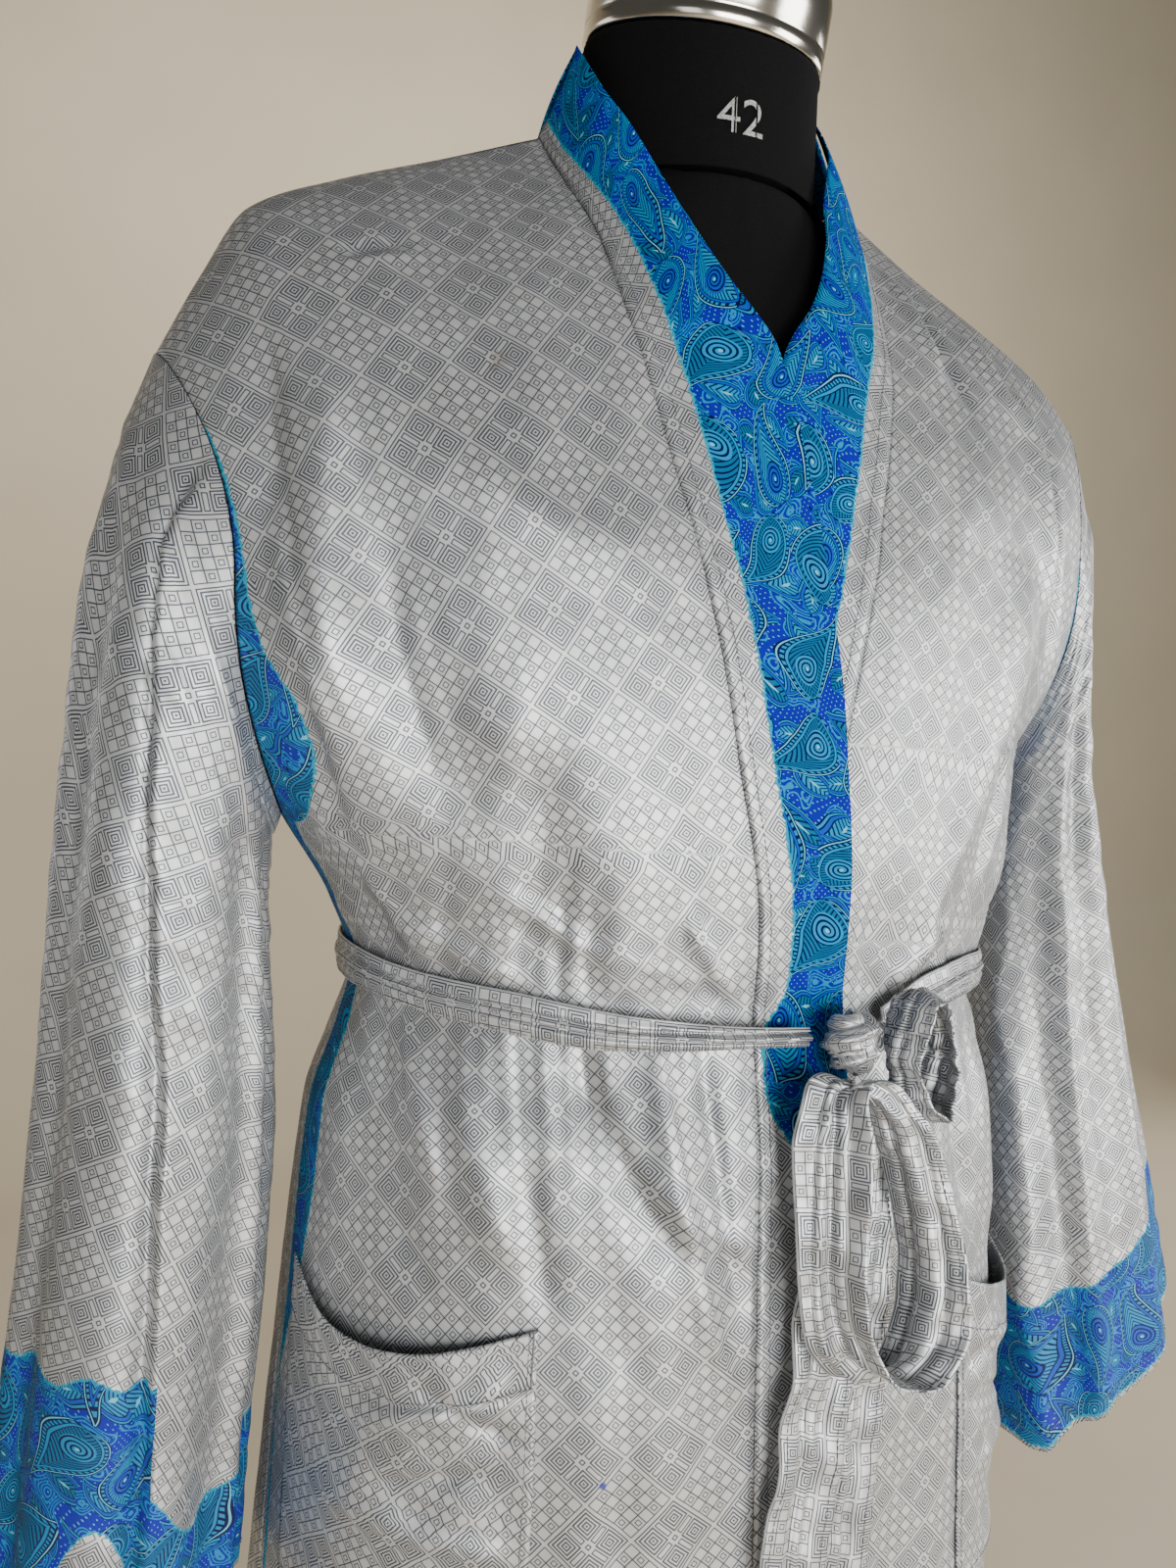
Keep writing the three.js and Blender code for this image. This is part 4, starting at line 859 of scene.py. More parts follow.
# fronts
fronts = {
    "spacing": 4.6, "columns": 104, "grain": {-1: -6.0, 1: 2.0},
    # x1 z1 x2 z2 width depth bow steep, seen from the front; every layer of the overlap follows them
    "creases": [
        # right chest
        (-235, 1225, -190, 1080, 22, 6, 0, 0.8), (-196, 1245, -150, 1090, 22, -6, 0, 0.8),
        (-128, 1130, -104, 1036, 22, -6, 0, 0.9), (-62, 960, -58, 700, 20, 6, 0, 0.9),
        (-240, 1310, -226, 1180, 11, -5, 4, 0.6), (-214, 1296, -207, 1150, 12, 5, 3, 0.7),
        (-236, 1240, -206, 1130, 7, 3.5, 5, 0.5), (-222, 1165, -178, 1040, 9, -5, 5, 0.5),
        (-214, 1110, -160, 1035, 8, 4.5, 4, 0.5), (-206, 1364, -176, 1373, 4.5, -2.6, 1, 0.6),
        (-204, 1357, -170, 1366, 4.5, 2.0, 1, 0.6), (-190, 1215, -168, 1120, 9, -3, 4, 0.7),
        (-92, 1396, -70, 1300, 12, 2.5, -6, 0.7), (-170, 1290, -100, 1230, 14, 2.2, 10, 0.9),
        # gathers above and below the belt
        (-130, 1064, -40, 1026, 6, 4, 3, 0.5), (-104, 1052, -30, 1022, 5, -3.4, 3, 0.6),
        (-48, 1060, -24, 1022, 5, 4, 1, 0.6), (-170, 1050, -120, 1024, 6, 3, 2, 0.6),
        (-100, 998, -50, 900, 11, -5, 6, 0.6), (-62, 994, -32, 850, 8, 6, 4, 0.5),
        (-38, 988, -24, 880, 5, -4, 2, 0.6), (-150, 990, -128, 900, 12, 4.5, 4, 0.7),
        (-185, 980, -168, 880, 12, -4.5, 3, 0.7), (-120, 940, -112, 880, 8, -3, 2, 0.7),
        (-70, 940, -20, 906, 7, 2.6, 4, 0.7), (-168, 996, -160, 930, 6, 3, 2, 0.6),
        # right skirt
        (-88, 850, -92, 640, 15, 5, 4, 0.7), (-40, 720, -48, 300, 18, -6, 6, 0.8),
        (-150, 640, -160, 300, 20, 6, -6, 0.8),
        # left chest and skirt
        (195, 1240, 176, 1090, 22, -6, 0, 0.8), (160, 1235, 132, 1080, 22, 6, 0, 0.8),
        (118, 1404, 130, 1336, 7, -5, 3, 0.5), (104, 1412, 112, 1350, 6, 4, 3, 0.6),
        (150, 1392, 168, 1330, 9, 4, 3, 0.7), (178, 1352, 190, 1230, 9, 6, 4, 0.5),
        (196, 1330, 202, 1210, 8, -5, 3, 0.6), (172, 1180, 128, 1085, 9, -6, 5, 0.5),
        (186, 1160, 150, 1060, 8, 5, 4, 0.5), (120, 1120, 86, 1036, 9, 4, 3, 0.7),
        (110, 1056, 70, 1024, 5, 4, 2, 0.6), (120, 990, 132, 900, 10, -5, 3, 0.6),
        (150, 985, 162, 880, 11, 5, 3, 0.7), (90, 985, 96, 900, 8, 3.5, 2, 0.7),
        (100, 760, 106, 320, 18, 6, 6, 0.8), (150, 700, 150, 300, 16, -6, -5, 0.8)],
}


def sharedFolds(x, z):
    waist = ease(3, 20, np.abs(z - robe["beltLevel"]))
    ripple = 1.5 * noiseField(x, z, 36, 2.0, 5) + 0.55 * noiseField(x, z, 13, 2.2, 9)
    return (creaseOffset(x, z, fronts["creases"]) * waist + ripple * (0.35 + 0.65 * waist)
            + beltPinch(x, z, 11))


# width of the blue strip along the side edge, by level, and where it starts from the edge
sideStrip = readRows("level width start", [
    (1340, -8, -6), (1290, -4, -6), (1265, 1.2, -6), (1235, 2.6, -6), (1205, 5.5, -6), (1172, 14, -6),
    (1150, 28, -6),
    (1120, 34, -6), (1095, 33, -6), (1070, 27, -6), (1040, 20, -6), (1012, 18, -2), (985, 24, 3),
    (950, 31, 8),
    (900, 34, 10), (860, 31, 11), (825, 16, 8), (780, 7, 5), (700, 8, 4), (262, 12, 4)])


def edgeDistance(grid, fromLast):
    steps = np.linalg.norm(np.diff(grid, axis=1), axis=-1)
    if fromLast:
        run = np.concatenate([steps[:, ::-1].cumsum(axis=1)[:, ::-1], np.zeros((len(grid), 1))], axis=1)
    else:
        run = np.concatenate([np.zeros((len(grid), 1)), steps.cumsum(axis=1)], axis=1)
    return run


surfaces = {}


def addFront(side):
    rows = fineRows(fronts["spacing"])
    base = frontBase(side, rows, fronts["columns"])
    normals = gridNormals(base)
    x, z = base[..., 0], base[..., 2]
    seamSide = np.arange(base.shape[1]) if side < 0 else np.arange(base.shape[1])[::-1]
    bandSide = seamSide.max() - seamSide
    free = ease(0, 14, seamSide)[None, :] * ease(0, 30, np.arange(len(rows)))[:, None]
    free = free * mix(1, ease(0, 9, bandSide)[None, :], ease(1325, 1375, z))
    lift = robe["layerStep"] * (1 - ease(70, 180, np.abs(x))) * ease(1385, 1338, z) if side < 0 else 0 * x
    out = lift + sharedFolds(x, z) * free
    grid = base + normals * out[..., None]
    # puckers along the collar seam
    run = np.array([float(p[2]) for p in base[:, -1 if side < 0 else 0]])
    pucker = 0.5 * np.sin(run / 5.3 + 2 * np.sin(run / 41))[:, None] * np.exp(-bandSide / 2.2)[None, :]
    grid += normals * pucker[..., None] * ease(0, 2, bandSide)[None, :, None]
    edgeZ = z[:, 0 if side < 0 else -1]
    strip = readCurve(sideStrip, "level", "width", edgeZ)
    inward = edgeDistance(grid, side > 0)
    border = np.minimum(strip[:, None] - inward,
                        inward - readCurve(sideStrip, "level", "start", edgeZ)[:, None])
    places = flattened(base, ((0.45, 0.8 if side < 0 else 0.2), (0.95, 0.8 if side < 0 else 0.2)))
    name = "frontRight" if side < 0 else "frontLeft"
    stains = ()
    if side < 0:
        at = lambda a, b: places.reshape(-1, 2)[np.hypot(x - a, z - b).argmin()] * 1000
        stains = [(*at(-137, 1311), 4.5, (0.20, 0.17, 0.14), 0.35),
                  (*at(-141, 1308), 2.5, (0.16, 0.13, 0.10), 0.45),
                  (*at(-89, 802), 1.8, (0.01, 0.03, 0.35), 0.9),
                  (*at(-174, 1231), 6.0, (0.30, 0.31, 0.33), 0.3)]
    material = printedSilk(name + "Silk", fronts["grain"][side], stains)
    obj = addCloth(name, grid, material, "front_right" if side < 0 else "front_left", border, places)
    surfaces[side] = (grid, gridNormals(grid), obj, material)
    print(name, "made", round(clothArea(grid), 3), "m2")


for side in (-1, 1):
    addFront(side)

# back
backPanel = {
    "columns": 150,
    "creases": [(-150, 1250, -60, 1080, 18, -5, 8, 0.7), (150, 1230, 60, 1080, 18, -5, -8, 0.7),
                (-60, 1200, -40, 1040, 12, 4, 3, 0.7), (40, 1190, 30, 1040, 12, 4, -3, 0.7),
                (-180, 1160, -120, 1040, 12, 4, 5, 0.6), (180, 1170, 120, 1040, 12, 4, -5, 0.6),
                (-100, 985, -120, 800, 14, 5, -5, 0.7), (90, 985, 110, 780, 14, 5, 5, 0.7),
                (-20, 985, -14, 760, 12, -4, 4, 0.7), (30, 980, 50, 760, 12, 4, 4, 0.8),
                (-120, 1400, -40, 1380, 14, 3, 4, 0.8), (120, 1390, 40, 1375, 14, 3, -4, 0.8)],
}


def addBack():
    rows = fineRows(fronts["spacing"])
    base = backBase(rows, backPanel["columns"])
    normals = gridNormals(base)
    x, z = base[..., 0], base[..., 2]
    column = np.arange(base.shape[1])
    free = ((ease(0, 14, np.minimum(column, column[::-1]))[None, :]
             * ease(0, 26, np.arange(len(rows)))[:, None]))
    waist = ease(3, 20, np.abs(z - robe["beltLevel"]))
    out = (creaseOffset(x, z, backPanel["creases"]) * waist + beltPinch(x, z, 31, 1.2)
           + 1.4 * noiseField(x, z, 36, 2.4, 17.0) + 0.45 * noiseField(x, z, 13, 2.2, 21.0)) * free
    grid = base + normals * out[..., None]
    places = flattened(base, ((0.45, 0.5), (0.95, 0.5)))
    obj = addCloth("backCloth", grid, printedSilk("backSilk"), "back", None, places)
    declareSheet(grid, (0.86, 1.24), ["form_torso"])
    print("back made")


addBack()

# collar band
band = {"greyStrip": 18.0, "columns": 18, "puckerPitch": 5.6}


def bandGrid(side, rows):
    grid = []
    for r in rows:
        seam = bandSeamPoint(side, r)
        level = seam[2] + 56 * ease(1201, 1463, seam[2])
        free = points(-side * readCurve(collarEdge, "level", "x", level),
                      readCurve(collarEdge, "level", "y", level), level)
        gap = 0.3 / np.linalg.norm(free - seam)
        share = mix(gap, 1, np.linspace(0, 1, band["columns"]))
        row = seam + (free - seam) * share[:, None]
        onBody = frontDepth(row[:, 0], row[:, 2]) + (seam[1] - frontDepth(seam[0], seam[2])) * (1 - share)
        row[:, 1] = mix(onBody, row[:, 1] - 4 * np.sin(np.pi * share), ease(1325, 1350, row[:, 2]))
        grid.append(row if side < 0 else row[::-1])
    grid = np.array(grid)
    normals = gridNormals(grid)
    z, share = grid[..., 2], np.linspace(0, 1, band["columns"])
    share = share if side < 0 else share[::-1]
    lift = (robe["layerStep"] if side < 0 else 0) * ease(1385, 1338, z)
    run = z + 3 * np.sin(z / 37)
    pucker = (0.55 * np.sin(run / band["puckerPitch"] * 1.1) * np.exp(-share * 9)[None, :]
              * ease(0, 0.08, share)[None, :])
    seamWelt = 0.9 * np.exp(-((share - 0.07) / 0.05) ** 2)[None, :]
    below = ease(1375, 1325, z)
    soft = sharedFolds(grid[..., 0], z) * below
    roll = 1.2 * ease(0.8, 1, share)[None, :] * (side < 0)
    own = 0.7 * noiseField(grid[..., 0], z, 26, 2.5, side + 40.0) * (1 - below) * ease(0, 0.3, share)[None, :]
    soft = soft + own
    return grid + normals * (lift + pucker + seamWelt + soft + roll)[..., None], share


def addBands():
    rows = fineRows(fronts["spacing"])
    made = {}
    for side, name, node in ((-1, "collarBandRight", "collar_band_right"),
                             (1, "collarBandLeft", "collar_band_left")):
        grid, share = bandGrid(side, rows)
        distance = edgeDistance(grid, side > 0)
        # the grey part next to the seam narrows at the neck and takes over below the belt
        level = grid[:, :1, 2]
        grey = (band["greyStrip"] - 8 * ease(1340, 1460, level)
                - 14 * ease(1030, 1000, level) * ease(930, 985, level))
        grey = grey + 30 * ease(975, 890, level) * (side < 0)
        border = distance - grey
        places = stripPlaces(grid)
        places[..., 0] = (distance if side < 0 else -distance) * 0.001
        obj = addCloth(name, grid, printedSilk(name + "Silk", 6 * side, specular=0.08), node, border, places)
        made[side] = (grid, gridNormals(grid), obj)
        column = 2 if side < 0 else band["columns"] - 3
        addStitches(name + "Stitches", grid[:, column], made[side][1][:, column], seed=side + 3)
        declareSheet(grid, (0.075, 1.26), ["frontRight" if side < 0 else "frontLeft"])
    turn = np.linspace(0.9, 179.1, 60)
    a = np.radians(turn)
    upper = points(72 * np.cos(a), 5 + 70 * np.sin(a), 1519 + 8 * np.sin(a))
    lower = neckSeamPoint(turn) + np.array([0, 0.4, 0.4])
    share = np.linspace(0, 1, 14)[:, None, None]
    grid = upper[None] + (lower - upper)[None] * share
    out = gridNormals(grid)
    grid = grid + out * (1.6 * np.sin(np.pi * share[..., 0])
                         + 0.5 * noiseField(grid[..., 0], grid[..., 2], 20, 1, 51.0)
                         * ease(0, 6, np.minimum(np.arange(60), np.arange(60)[::-1]))[None, :])[..., None]
    places = stripPlaces(grid.transpose(1, 0, 2)).transpose(1, 0, 2)
    obj = addCloth("collarBandBack", grid, printedSilk("collarBandBackSilk", specular=0.08),
                   "collar_band_back",
                   60 - 54 * share[..., 0] * np.ones((1, 60)), places)
    declareSheet(grid, (0.30, 0.075), ["form_neck"])
    return made


addBands()
declareSheet(surfaces[-1][0], (0.42, 1.28), ["form_torso"])
declareSheet(surfaces[1][0], (0.42, 1.28), ["form_torso"])
print("bands made")

# sleeves
sleeves = {
    "columns": 170, "rows": 150, "grain": {-1: 15.0, 1: 0.0},
    "rings": {
        -1: readRows("at outerX outerZ innerX innerZ deep middleY slant", [
            (1, 306, 1266, 228, 1078, 71, 0, 0), (2, 320, 1200, 230, 1050, 76, 4, 0),
            (3, 330, 1110, 229, 1000, 81, 8, 0),
            (4, 337, 1000, 227, 930, 85, 11, 0), (5, 346, 885, 231, 850, 87, 12, 0),
            (6, 356, 790, 237, 772, 87, 12, 0),
            (7, 364, 702, 242, 692, 87, 12, 0)]),
        1: readRows("at outerX outerZ innerX innerZ deep middleY slant", [
            (1, 253, 1318, 214, 1136, 67, 0, 0), (2, 256, 1265, 213, 1108, 69, 4, 0),
            (3, 270, 1170, 211, 1060, 72, 9, 0),
            (4, 298, 1062, 213, 988, 76, 10, 5), (5, 332, 955, 217, 884, 76, 4, 14),
            (6, 358, 882, 221, 798, 75, -2, 22),
            (7, 380, 818, 227, 718, 72, -6, 28)]),
    },
    # turn: 0 on the outer line, 90 at the front, 180 on the inner line; then width, depth, start and drift
    "folds": {
        -1: [(36, 9, -6, 0.05, -3), (22, 9, 4, 0.05, -3), (132, 9, -7, 0.15, 2), (145, 5, 6, 0.15, 2),
             (154, 5, -9, 0.12, 3),
             (166, 6, 5, 0.2, 2), (215, 14, -7, 0.2, 0), (262, 15, 6, 0.25, 0), (315, 13, -6, 0.2, 0),
             (118, 6, -2.2, 0.35, 6), (290, 6, 3, 0.4, 6), (235, 6, -3, 0.4, -5)],
        1: [(62, 11, -7, 0.12, 0), (78, 11, 6, 0.1, 0), (128, 12, -7, 0.3, 4), (152, 12, 6, 0.35, 0),
            (215, 14, -7, 0.2, 0), (262, 15, 6, 0.25, 0), (315, 13, -6, 0.2, 0),
            (100, 8, -3, 0.1, 9), (113, 8, 2.6, 0.15, 8), (44, 8, 2, 0.3, 8), (28, 8, -2, 0.4, 6),
            (290, 8, 2.5, 0.4, 6)],
    },
    # the pleat edge down the right sleeve's front: share of the length, turn and step
    "pleat": readRows("down turn step", [(0, 58, 4), (0.04, 59, 6), (0.12, 64, 7), (0.25, 72, 7),
                                         (0.5, 86, 7), (0.8, 97, 6.5), (1, 101, 6)]),
}


def sleeveFoldGrow(turn, down, folds):
    grow = 0 * turn * down
    for middle, width, depth, start, drift in folds:
        away = (turn - middle - drift * (down - 0.5) * 2 + 540) % 360 - 180
        grow = grow + depth * np.exp(-((away / width) ** 2)) * ease(start, start + 0.3, down)
    return grow


def addSleeve(side):
    turn = (np.linspace(-180, 180, sleeves["columns"])[::-1]
            if side > 0 else np.linspace(-180, 180, sleeves["columns"]))
    rings, folds = sleeves["rings"][side], sleeves["folds"][side]
    seam = armholePoint(side, 1, np.abs(turn))
    seam[:, 1] = robe["middleY"] - np.sign(turn) * (robe["middleY"] - seam[:, 1])
    seam[:, 0] += side * 0.6
    steps = np.linspace(0, 7, sleeves["rows"])
    grid, plain = [], []
    for at in steps:
        read = lambda column: float(readCurve(rings, "at", column, max(at, 1)))
        outer, inner = (np.array([side * read("outerX"), 0, read("outerZ")]),
                        np.array([side * read("innerX"), 0, read("innerZ")]))
        down = at / 7
        c, s = np.cos(np.radians(turn)), np.sin(np.radians(turn))
        grow = sleeveFoldGrow(turn, np.array(down), folds)
        wobble = 2.0 * math.sin(down * 23 + 1) + 1.2 * math.sin(down * 47)
        if side < 0:
            edge = float(readCurve(sleeves["pleat"], "down", "turn", down)) + 0.5 * wobble
            step = float(readCurve(sleeves["pleat"], "down", "step", down))
            away = turn - edge
            grow = (grow + step * np.where(away > 0, np.exp(-away / 26), -1.3 * np.exp(away / 8))
                    * np.tanh(np.abs(away) / 1.1))
        grow = grow + 2.2 * np.exp(-(((turn - 150 - 2 * wobble) / 4) ** 2)) * float(ease(0.3, 0.5, down))
        run = np.full(turn.shape, at * 90.0)
        ripple = (1.7 * noiseField(turn * 1.3, run, 30, 2.6, side * 5 + 60)
                  + 0.35 * noiseField(turn * 1.3, run, 13, 1.5, side * 5 + 70))
        slack = (math.exp(-((down - 0.42) / 0.2) ** 2) + 0.6 * math.exp(-((down - 0.9) / 0.1) ** 2)
                 + 0.5 * math.exp(-((down - 0.08) / 0.07) ** 2))
        elbow = 2.2 * noiseField(turn * 1.3, run + turn * 0.25, 34, 0.6, side * 5 + 80) * slack
        ends = float(ease(0.0, 0.12, down))
        scale = 1 + (grow + (ripple + elbow) * ends) / read("deep")
        for rows, grown in ((grid, scale), (plain, 1.0)):
            row = (outer + inner) / 2 + ((outer - inner) / 2)[None] * (c * grown)[:, None]
            row[:, 1] = read("middleY") - read("deep") * s * grown + read("slant") * c * grown
            rows.append(seam + (row - seam) * min(at, 1))
    grid = np.array(grid)
    steps = np.linalg.norm(np.diff(grid, axis=0), axis=-1)[::-1].cumsum(axis=0)[::-1]
    toHem = np.concatenate([steps, np.zeros((1, grid.shape[1]))])
    if side < 0:
        edge = (float(readCurve(sleeves["pleat"], "down", "turn", 0.88))
                + 0.5 * (2.0 * math.sin(0.88 * 23 + 1) + 1.2 * math.sin(0.88 * 47)))
        front = np.interp(turn, [edge, 112, 126, 140, 152, 165, 180], [84, 70, 54, 64, 78, 84, 100])
        width = np.where(turn < edge, 138 - 0.12 * (edge - turn), front)
        width = np.where(turn < -20, 110, width) + 3 * np.sin(turn / 5)
    else:
        width = 88 + 5 * np.sin(turn / 23)
    border = width[None, :] - toHem
    if side < 0:  # a bare patch of the grey near the hem
        patch = toHem - 50 - 16 * (1 - ((turn - 80) / 13) ** 2)[None, :]
        border = np.where((np.abs(turn - 80) < 20)[None, :], np.minimum(border, patch), border)
    border = np.minimum(border, toHem - 2.6)  # the pale turned edge
    places = flattened(np.array(plain), ((0.3, 0.5), (0.95, 0.5)))
    name = "sleeveRight" if side < 0 else "sleeveLeft"
    material = printedSilk(name + "Silk", sleeves["grain"][side])
    obj = addCloth(name, grid, material, "sleeve_right" if side < 0 else "sleeve_left", border, places)
    normals = gridNormals(grid)
    hem = addStitches(name + "HemStitches", grid[-4], normals[-4], seed=side + 20)
    declareSheet(grid, (0.46, 0.66), ["frontRight" if side < 0 else "frontLeft", "backCloth"])
    print(name, "made")


for side in (-1, 1):
    addSleeve(side)

# pockets
pocket = {"mouth": 869.0, "bottom": 700.0, "sag": 19.0, "bulge": 6.5, "hem": 27.0, "startX": 117.0,
          "endTurn": 81.0,
          "columns": 84, "rows": 84,
          "creases": [(-195, 815, -135, 835, 7, 3.4, 0, 0.8), (-185, 785, -140, 800, 6, -3, 0, 0.8),
                      (-200, 770, -130, 760, 9, 3, 0, 0.8), (-165, 836, -120, 815, 5, -2, 2, 0.7),
                      (-190, 745, -150, 720, 7, -2.6, 2, 0.8)]}


def addPocket(side):
    grid, normals = surfaces[side][:2]
    rowsZ = grid[:, grid.shape[1] // 2, 2]
    picked = []
    for i, level in enumerate(np.linspace(pocket["mouth"], pocket["bottom"], pocket["rows"])):
        down = i / (pocket["rows"] - 1)
        row, across = [], np.linspace(0, 1, pocket["columns"])
        sag = pocket["sag"] * np.sin(np.pi * across) * (1 - down) ** 1.6
        for u, s in zip(across, sag):
            at = level - s
            start = turnAtX(side * (pocket["startX"] + 4 * down), at)
            turn = mix(start, side * pocket["endTurn"], u)
            # nearest place on the front's grid, found by level and turn
            target = bodyPoint(turn, at)
            r = np.clip(np.interp(-at, -rowsZ, np.arange(len(rowsZ))), 0, len(rowsZ) - 1.001)
            i0 = int(r)
            line = grid[i0, :, 0]
            cols = np.arange(grid.shape[1])
            c = np.interp(target[0], line, cols) if line[-1] > line[0] else np.interp(-target[0], -line, cols)
            c = min(max(c, 0), grid.shape[1] - 1.001)
            j0, fr, fc = int(c), r - i0, c - int(c)
            pick = lambda data: (data[i0, j0] * (1 - fr) * (1 - fc) + data[i0 + 1, j0] * fr * (1 - fc)
                                 + data[i0, j0 + 1] * (1 - fr) * fc + data[i0 + 1, j0 + 1] * fr * fc)
            n = pick(normals)
            bulge = pocket["bulge"] * math.sin(math.pi * u) * (1 - down) ** 2
            billow = 2.6 * math.exp(-((u - 0.45) / 0.22) ** 2 - ((down - 0.55) / 0.25) ** 2)
            below = down * (pocket["mouth"] - pocket["bottom"]) - pocket["hem"]
            flap = (1.5 if below < 0 else 0.2) - 0.7 * math.exp(-((below / 1.6) ** 2))
            row.append(pick(grid) + n / np.linalg.norm(n)
                       * (1.6 + 0.5 * min(u, 1 - u) * 4 + bulge + billow + flap))
        picked.append(row)
    made = np.array(picked)
    if made[0, 0, 0] > made[0, -1, 0]:
        made = made[:, ::-1]
    out = gridNormals(made)
    x, z = made[..., 0], made[..., 2]
    rumple = (1.0 * noiseField(x, z, 16, 1.3, 90.0 + side) + 1.7 * noiseField(x, z, 34, 1.1, 95.0 + side)
              + creaseOffset(-side * x, z, pocket["creases"]))
    inset = np.minimum(np.arange(made.shape[1]), np.arange(made.shape[1])[::-1])
    made = (made + out * (rumple * ease(0, 9, inset)[None, :]
                          * ease(0, 6, np.arange(len(made))[::-1])[:, None])[..., None])
    name = "pocketRight" if side < 0 else "pocketLeft"
    obj = addCloth(name, made, printedSilk(name + "Silk", 8), "pocket_right" if side < 0 else "pocket_left",
                   None, stripPlaces(made))
    hemRow = int(pocket["hem"] / (pocket["mouth"] - pocket["bottom"]) * (pocket["rows"] - 1))
    inner = made.shape[1] - 3 if side < 0 else 2
    lines = {"Hem": (made[hemRow], out[hemRow]), "Edge": (made[:, inner], out[:, inner]),
             "Bottom": (made[-3], out[-3])}
    stitches = [addStitches(name + key, *value, seed=5, pitch=2.8, length=2.1)
                for key, value in lines.items()]
    tack = addStitches(name + "Tack", made[:14, inner + (1 if side < 0 else -1)], out[:14, inner], length=2.4,
                       pitch=1.3, radius=0.5, seed=8)
    declareSheet(made, (0.16, 0.20), ["frontRight" if side < 0 else "frontLeft"])


for side in (-1, 1):
    addPocket(side)
print("pockets made")

# belt
belt = {"width": 20.0, "ribbon": 35.0, "wall": 1.0,
        "rise": readRows("turn rise", [(16, -6), (28, 8), (45, 14), (90, 8), (180, 2), (270, 5), (315, 0),
                                       (340, -6), (362.2, -7)])}


def crossFold(u, depth, seed, run):
    # lengthwise folds over the belt's width, drifting along it
    first = 0.33 + 0.10 * np.sin(run / 61 + seed)
    second = 0.68 + 0.08 * np.sin(run / 83 + seed * 2)
    return (-depth * np.exp(-(((u - first) / 0.07) ** 2))
            - 0.7 * depth * np.exp(-(((u - second) / 0.06) ** 2))
            + 0.6 * depth * np.sin(np.pi * u) + 0.3 * np.sin(run / 7 + 3 * u))


def addBeltWaist():
    turns = np.linspace(16, 362.2, 330)
    around = np.where(turns > 180, turns - 360, turns)
    toKnot = ease(-40, 4, np.where(around > 10, -around - 30, around))
    level = robe["beltLevel"] + readCurve(belt["rise"], "turn", "rise", turns)
    centre = bodyPoint(around, level)
    x, y = centre[:, 0], centre[:, 1]
    direction = points(x / 187, (y - robe["middleY"]) / 126, 0 * x)
    direction /= np.linalg.norm(direction, axis=1)[:, None]
    out = robe["layerStep"] + 2.9 + 2.5 * (1 - ease(70, 180, np.abs(x))) + 8 * toKnot
    run = np.concatenate([[0], np.linalg.norm(np.diff(centre, axis=0), axis=1).cumsum()])
    rows = []
    for u in np.linspace(0, 1, 28):
        height = ((0.5 - u) * belt["width"] * mix(1, 0.5, toKnot) * (1 + 0.08 * np.sin(run / 31))
                  + 0.8 * np.sin(run / 47))
        fold = crossFold(u, 3.4 + 1.6 * toKnot, 1.0, run) * math.sin(math.pi * min(max(u, 0.04), 0.96)) ** 0.5
        wave = noiseField(run, np.full(run.shape, u * 30), 12, 1, 7)
        row = centre + direction * (out + fold + 0.5 * wave)[:, None]
        row[:, 2] = level + height
        rows.append(row)
    grid = np.array(rows)
    places = stripPlaces(grid.transpose(1, 0, 2)).transpose(1, 0, 2)
    obj = addCloth("beltWaist", grid, printedSilk("beltSilk", 45), "belt_waist", None, places, belt["wall"])
    normals = gridNormals(grid)
    lower = addStitches("beltWaistStitches", grid[-3], normals[-3], seed=31)
    declareSheet(grid, (1.05, 0.030), ["frontRight", "frontLeft", "backCloth"])


def closedCurve(stations, count, closed=True):
    # centripetal curve through the stations, as many points as asked for
    data = np.array(stations, dtype=float)
    n = len(data)
    total = n if closed else n - 1
    out = []
    for k in range(count):
        s = k / (count if closed else count - 1) * total
        i, t = int(min(s, total - 1e-9)), s - int(min(s, total - 1e-9))
        get = lambda j: data[j % n] if closed else data[min(max(j, 0), n - 1)]
        a, b, c, d = get(i - 1), get(i), get(i + 1), get(i + 2)
        out.append(0.5 * (2 * b + (c - a) * t + (2 * a - 5 * b + 4 * c - d) * t * t
                          + (3 * b - a - 3 * c + d) * t**3))
    return np.array(out)


loops = {
    "beltLoopLarge": [  # x y z turned tipped
        (14, -167, 988, 30, 0), (9, -172, 967, 28, 0), (8, -175, 935, 28, 0), (9, -177, 895, 30, 2),
        (16, -179, 867, 40, 5),
        (33, -180, 853, 52, 8), (52, -179, 857, 57, 8), (63, -177, 879, 57, 4), (62, -174, 912, 54, 0),
        (55, -171, 944, 48, 0), (45, -169, 970, 40, 0), (32, -167, 986, 34, 0)],
    "beltLoopSmall": [
        (55, -156, 1010, 78, 6), (61, -156, 1027, 76, 6), (71, -156, 1024, 74, 0), (77, -155, 1006, 74, 0),
        (76, -155, 985, 74, 0), (68, -156, 968, 74, 0), (59, -156, 978, 76, 0), (54, -156, 994, 78, 3)],
}
tails = {
    "beltTailRight": [(24, -148, 985, 0), (22, -153, 940, 0), (17, -161, 880, 4), (9, -165, 820, 9),
                      (0, -168, 765, 12),
                      (-6, -171, 700, 10), (-9, -173, 628, 6)],
    "beltTailLeft": [(45, -147, 974, 0), (46, -149, 940, 0), (42, -153, 880, -2), (35, -157, 820, -3),
                     (29, -159, 765, -2),
                     (26, -161, 700, -2), (25, -164, 590, 0)],
}


